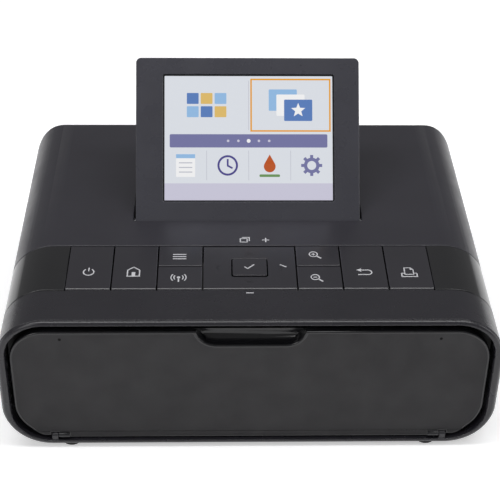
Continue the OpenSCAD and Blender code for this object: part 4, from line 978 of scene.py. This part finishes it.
@dataclass
class ScreenPicture:
    """The generic start page that the display shows, drawn from its lower left corner.

    Its layout: a slate bar over a row of small tiles, and a row of two large tiles above it.
    """

    width_mm: float = 65.4
    height_mm: float = 48.6
    strip_mm: float = 6.6
    bar_low_mm: float = 20.6
    bar_h_mm: float = 5.2
    layer_mm: float = 0.012
    line_mm: float = 0.18
    corner_mm: float = 0.3
    layers: dict[str, tuple[Finish, Stencil, int]] = field(default_factory=dict)

    def pen(self, finish: Finish, level: int) -> Stencil:
        """The drawing of one colour on one level.

        Args:
            finish: the colour.
            level: how many layers it lies above the glass.

        Returns:
            The drawing.
        """
        key = f"{finish.name}_{level}"
        if key not in self.layers:
            self.layers[key] = (finish, Stencil(), level)
        return self.layers[key][1]

    def build(self, place: Matrix) -> None:
        """Draws the page and makes its layers.

        Args:
            place: from the picture's lower left corner to the printer.
        """
        self._ground()
        self._upper_tiles()
        self._lower_tiles()
        for key, (finish, pen, level) in self.layers.items():
            rise = Matrix.Translation((0, 0, level * self.layer_mm))
            bake(key, pen.raise_all(self.layer_mm), finish, "display",
                 place @ rise)

    def _ground(self) -> None:
        """The pale ground, the lower strip, the bar with its page dots and the tile lines."""
        middle, dot_step = self.width_mm / 2, 4
        ground = self.pen(SCREEN_PALE, 1)
        ground.box((middle, self.height_mm / 2), self.width_mm, self.height_mm, self.corner_mm)
        self.pen(SCREEN_STRIP, 2).box((middle, self.strip_mm / 2), self.width_mm, self.strip_mm)
        bar = self.pen(SCREEN_SLATE, 2)
        bar_mid = self.bar_low_mm + self.bar_h_mm / 2
        bar.box((middle, bar_mid), self.width_mm - 4, self.bar_h_mm, 0.5)
        for step in range(-2, 3):
            ink, radius = (SCREEN_STRIP, 0.5) if step else (SCREEN_WHITE, 0.75)
            self.pen(ink, 3).disc((middle + dot_step * step, bar_mid), radius, 20)
        lines = self.pen(SCREEN_LINE, 2)
        lines.bar((middle, self.bar_low_mm + self.bar_h_mm + 1.6),
                  (middle, self.height_mm - 1.8), self.line_mm)
        for share in (1, 2, 3):
            x = self.width_mm * share / 4
            lines.bar((x, self.strip_mm + 1.2), (x, self.bar_low_mm - 1.2), self.line_mm)

    def _upper_tiles(self) -> None:
        """Two large tiles: a grid of small sheets, and three sheets with a star, framed."""
        low, high = self.bar_low_mm + self.bar_h_mm + 1.3, self.height_mm - 1.3
        mid_y = (low + high) / 2
        left, right = self.width_mm * 0.25, self.width_mm * 0.75
        self._border(self.pen(SCREEN_ORANGE, 3), (right, mid_y),
                     (self.width_mm * 0.235, (high - low) / 2), 0.6)
        for index, ink in enumerate((SCREEN_SKY, SCREEN_WHITE, SCREEN_BLUE)):
            place = right - 3 + 3 * index, mid_y + 2 - 2 * index
            self.pen(ink, 3 + index).box(place, 11, 8.4, 0.4)
        self._star(self.pen(SCREEN_WHITE, 6), (right + 3, mid_y - 2), 2.9, 1.25)
        step_x, step_y = 5.4, 5.2
        for row in range(2):
            for column in range(3):
                ink = (SCREEN_SKY, SCREEN_BLUE, SCREEN_SAND)[(row + column) % 3]
                place = left + step_x * (column - 1), mid_y + step_y * (row - 0.5)
                self.pen(ink, 3).box(place, 4.6, 4.3, self.corner_mm)

    def _lower_tiles(self) -> None:
        """Four small tiles: a page of lines, a dial, a drop over a wave and a toothed wheel."""
        mid_y = (self.strip_mm + self.bar_low_mm) / 2
        page, dial, drop, wheel = (self.width_mm * (2 * index + 1) / 8 for index in range(4))
        self.pen(SCREEN_WHITE, 3).box((page, mid_y), 7.4, 9.0, self.corner_mm)
        self.pen(SCREEN_SKY, 4).box((page, mid_y + 3.6), 7.4, 1.6)
        for line in range(3):
            level = mid_y + 1 - 1.8 * line
            self.pen(SCREEN_LINE, 4).bar((page - 2.6, level), (page + 2.6, level), 0.4)
        pen = self.pen(SCREEN_INDIGO, 3)
        pen.arc((dial, mid_y), 3.6, 0.8, 0, 360, 36)
        pen.bar((dial, mid_y), (dial, mid_y + 2.5), 0.7)
        pen.bar((dial - 0.2, mid_y), (dial + 1.9, mid_y - 1.1), 0.7)
        pen = self.pen(SCREEN_RUST, 3)
        pen.disc((drop, mid_y - 0.4), 2.3)
        pen.patch([(drop - 2.05, mid_y + 0.65), (drop + 2.05, mid_y + 0.65), (drop, mid_y + 4.3)])
        self.pen(SCREEN_LEAF, 3).box((drop, mid_y - 4.0), 8.0, 1.0, 0.4)
        pen, teeth, hub = self.pen(SCREEN_SLATE, 3), 8, Vector((wheel, mid_y))
        pen.arc((wheel, mid_y), 2.4, 1.3, 0, 360, 32)
        for tooth in range(teeth):
            turn = tooth * math.tau / teeth
            way = Vector((math.cos(turn), math.sin(turn)))
            pen.bar(tuple(hub + way * 2.9), tuple(hub + way * 4.1), 1.2)

    def _border(self, pen: Stencil, centre: Point2, half: Point2, width: float) -> None:
        """Adds an upright rectangle's outline.

        Args:
            pen: the drawing.
            centre: its middle.
            half: half its width and half its height.
            width: width of its strokes.
        """
        (mid_x, mid_y), (half_w, half_h) = centre, half
        for side in (-1, 1):
            level, reach = mid_y + side * half_h, half_w + width / 2
            pen.bar((mid_x - reach, level), (mid_x + reach, level), width)
            upright = mid_x + side * half_w
            pen.bar((upright, mid_y - half_h), (upright, mid_y + half_h), width)

    def _star(self, pen: Stencil, centre: Point2, outer: float, inner: float) -> None:
        """Adds a five-pointed star.

        Args:
            pen: the drawing.
            centre: its middle.
            outer: radius of its points.
            inner: radius of its notches.
        """
        corners = []
        for step in range(10):
            radius = inner if step % 2 else outer
            turn = math.pi / 2 + step * math.pi / 5
            corners.append((centre[0] + radius * math.cos(turn),
                            centre[1] + radius * math.sin(turn)))
        pen.patch(corners)


@dataclass
class Display:
    """The tilting display: rear shell, bezel, glass and the page that it shows."""

    edge_mm: float = 0.3
    bezel_edge_mm: float = 0.2
    window_u_mm: float = 0.35
    window_low_mm: float = 7.5
    window_h_mm: float = 49.8
    glass_mm: float = 1.1

    def build(self, layout: Layout) -> None:
        """Makes the display.

        Args:
            layout: the printer's planes.
        """
        shells = (("lcd_rear_shell", self.edge_mm), ("lcd_bezel", self.bezel_edge_mm))
        for node, edge_mm in shells:
            Moulding(node, "display", BEZEL, "display_charcoal", edge_mm).build()
        picture = ScreenPicture()
        left = self.window_u_mm - picture.width_mm / 2
        low = self.window_low_mm + (self.window_h_mm - picture.height_mm) / 2
        picture.build(layout.panel.raised(left, low, self.glass_mm))


# ---------------------------------------------------------------- what is inside and below


@dataclass
class PrintEngine:
    """The inner parts, feet and fasteners, which keep their CAD shapes and get their finishes."""

    finishes: dict[Finish, tuple[str, ...]] = field(default_factory=lambda: {
        INNER_BLACK: ("mouth_frame", "cassette_guide", "paper_guide", "dc_inlet",
                      "battery_terminal", "board_parts"),
        RUBBER: ("rubber_feet", "pickup_rollers", "platen_roller"),
        STEEL_SHEET: ("left_side_plate", "right_side_plate", "motor_bracket", "head_carrier",
                      "card_socket", "usb_host_socket", "frame_stays", "key_switches"),
        STEEL_SHAFT: ("pickup_shaft", "pinch_roller", "feed_roller", "feed_motor", "ribbon_motor",
                      "case_screws"),
        BRASS: ("motor_pinion", "ribbon_pinion"),
        ALUMINIUM: ("thermal_head",),
        ACETAL: ("feed_gear", "take_up_gear", "roller_bushes", "nav_pivot", "take_up_spool",
                 "supply_spool", "ink_lock_lever"),
        CASSETTE: ("ink_case",),
        RIBBON: ("ink_ribbon",),
        BOARD: ("main_board", "key_board"),
        SCREEN_DARK: ("lcd_module",),
    })

    def dress(self) -> None:
        """Gives every carried-over node its finish."""
        for finish, nodes in self.finishes.items():
            for node in nodes:
                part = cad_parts[node]
                if not part.material_slots:
                    part.data.materials.append(None)
                for holder in part.material_slots:
                    holder.material = finish.material()
                LOG.info("%s dressed in %s", node, finish.name)


# ---------------------------------------------------------------- studio


@dataclass(frozen=True)
class Lamp:
    """A rectangular light that points at the printer.

    Args:
        name: its name.
        place: where it hangs.
        size: its width and height.
        watts: its power.
        aim: point that it shines at.
    """

    name: str
    place: Point3
    size: Point2
    watts: float
    aim: Point3 = (0.0, 0.0, 0.03)

    def hang(self) -> None:
        """Makes the light and turns it towards the printer."""
        data = bpy.data.lights.new(self.name, "AREA")
        data.shape = "RECTANGLE"
        data.size, data.size_y = self.size
        data.energy = self.watts
        lamp = bpy.data.objects.new(self.name, data)
        bpy.context.scene.collection.objects.link(lamp)
        way = (Vector(self.aim) - Vector(self.place)).to_track_quat("-Z", "Y")
        lamp.matrix_world = Matrix.Translation(self.place) @ way.to_matrix().to_4x4()


@dataclass
class Studio:
    """Pale floor, soft light and the camera at the photograph's viewing angle."""

    eye_mm: Point3 = (-11.567, -422.878, 337.175)
    yaw: float = -0.03
    pitch: float = 0.609
    roll: float = 0.016
    lens_mm: float = 93.12
    clip_m: Point2 = (0.01, 50.0)
    floor_m: float = 12.0
    floor_drop_mm: float = 0.05
    floor_colour: Colour = (0.86, 0.86, 0.87)
    floor_roughness: float = 0.8
    floor_specular: float = 0.1
    floor_glow: float = 0.42
    fill: float = 0.27
    lamps: tuple[Lamp, ...] = (Lamp("overhead", (0.0, -0.1, 0.95), (1.5, 0.22), 7.0),
                               Lamp("left", (-0.75, -0.75, 0.75), (0.5, 0.5), 2.2),
                               Lamp("right", (0.9, -0.1, 0.35), (0.3, 0.5), 1.2))

    def build(self) -> None:
        """Sets up the whole studio."""
        self._camera()
        self._floor()
        self._world()
        for lamp in self.lamps:
            lamp.hang()
        bpy.context.scene.view_settings.view_transform = "Standard"

    def _camera(self) -> None:
        """Places the camera by its turn, dip and roll."""
        ahead = Vector((-math.sin(self.yaw) * math.cos(self.pitch),
                        math.cos(self.yaw) * math.cos(self.pitch), -math.sin(self.pitch)))
        right = Vector((math.cos(self.yaw), math.sin(self.yaw), 0))
        over = right.cross(ahead)
        level = math.cos(self.roll), math.sin(self.roll)
        side = right * level[0] + over * level[1]
        up = over * level[0] - right * level[1]
        data = bpy.data.cameras.new("camera")
        data.lens = self.lens_mm
        data.clip_start, data.clip_end = self.clip_m
        camera = bpy.data.objects.new("camera", data)
        bpy.context.scene.collection.objects.link(camera)
        turn = Matrix((side, up, -ahead)).transposed().to_4x4()
        camera.matrix_world = Matrix.Translation(Vector(self.eye_mm) * MM) @ turn
        bpy.context.scene.camera = camera

    def _seen_directly(self, tree: bpy.types.NodeTree) -> bpy.types.NodeSocket:
        """One where a ray comes from the camera, off gloss or through glass.

        Args:
            tree: nodes to add to.

        Returns:
            The value.
        """
        path = tree.nodes.new("ShaderNodeLightPath")
        total = path.outputs["Is Camera Ray"]
        for kind in ("Is Glossy Ray", "Is Transmission Ray"):
            step = tree.nodes.new("ShaderNodeMath")
            step.operation = "MAXIMUM"
            tree.links.new(total, step.inputs[0])
            tree.links.new(path.outputs[kind], step.inputs[1])
            total = step.outputs["Value"]
        return total

    def _floor(self) -> None:
        """Makes the pale floor, which shows white and keeps the printer's shadow."""
        shape = bmesh.new()
        bmesh.ops.create_grid(shape, x_segments=2, y_segments=2, size=self.floor_m)
        bmesh.ops.translate(shape, vec=(0, 0, -self.floor_drop_mm * MM), verts=shape.verts)
        mesh = as_mesh("studio_floor", shape)
        floor = bpy.data.objects.new("studio_floor", mesh)
        bpy.context.scene.collection.objects.link(floor)
        made = bpy.data.materials.new("studio_floor")
        made.use_nodes = True
        tree = made.node_tree
        shader = tree.nodes["Principled BSDF"]
        shader.inputs["Base Color"].default_value = (*self.floor_colour, 1)
        shader.inputs["Roughness"].default_value = self.floor_roughness
        shader.inputs["Specular IOR Level"].default_value = self.floor_specular
        shader.inputs["Emission Color"].default_value = (1, 1, 1, 1)
        lift = tree.nodes.new("ShaderNodeMath")
        lift.operation = "MULTIPLY"
        lift.inputs[1].default_value = self.floor_glow
        tree.links.new(self._seen_directly(tree), lift.inputs[0])
        tree.links.new(lift.outputs["Value"], shader.inputs["Emission Strength"])
        mesh.materials.append(made)

    def _world(self) -> None:
        """Makes the plain surroundings that fill the shadows."""
        world = bpy.data.worlds.new("studio")
        bpy.context.scene.world = world
        world.use_nodes = True
        tree = world.node_tree
        sky = tree.nodes["Background"]
        sky.inputs["Color"].default_value = (1, 1, 1, 1)
        sky.inputs["Strength"].default_value = self.fill


def corners(box: tuple[Vector, Vector]) -> list[list[float]]:
    """A box's corners as plain lists.

    Args:
        box: lowest and highest corner.

    Returns:
        The two corners.
    """
    return [[float(value) for value in corner] for corner in box]


def main() -> None:
    """Builds the printer's looks in order."""
    logging.basicConfig(level=logging.INFO, format="%(name)s: %(message)s")
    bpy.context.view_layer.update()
    Studio().build()
    layout = Layout()
    CaseShells().build()
    FrontDoor().build(layout)
    ControlPanel().build(layout)
    Display().build(layout)
    PrintEngine().dress()


if __name__ == "__main__":
    main()
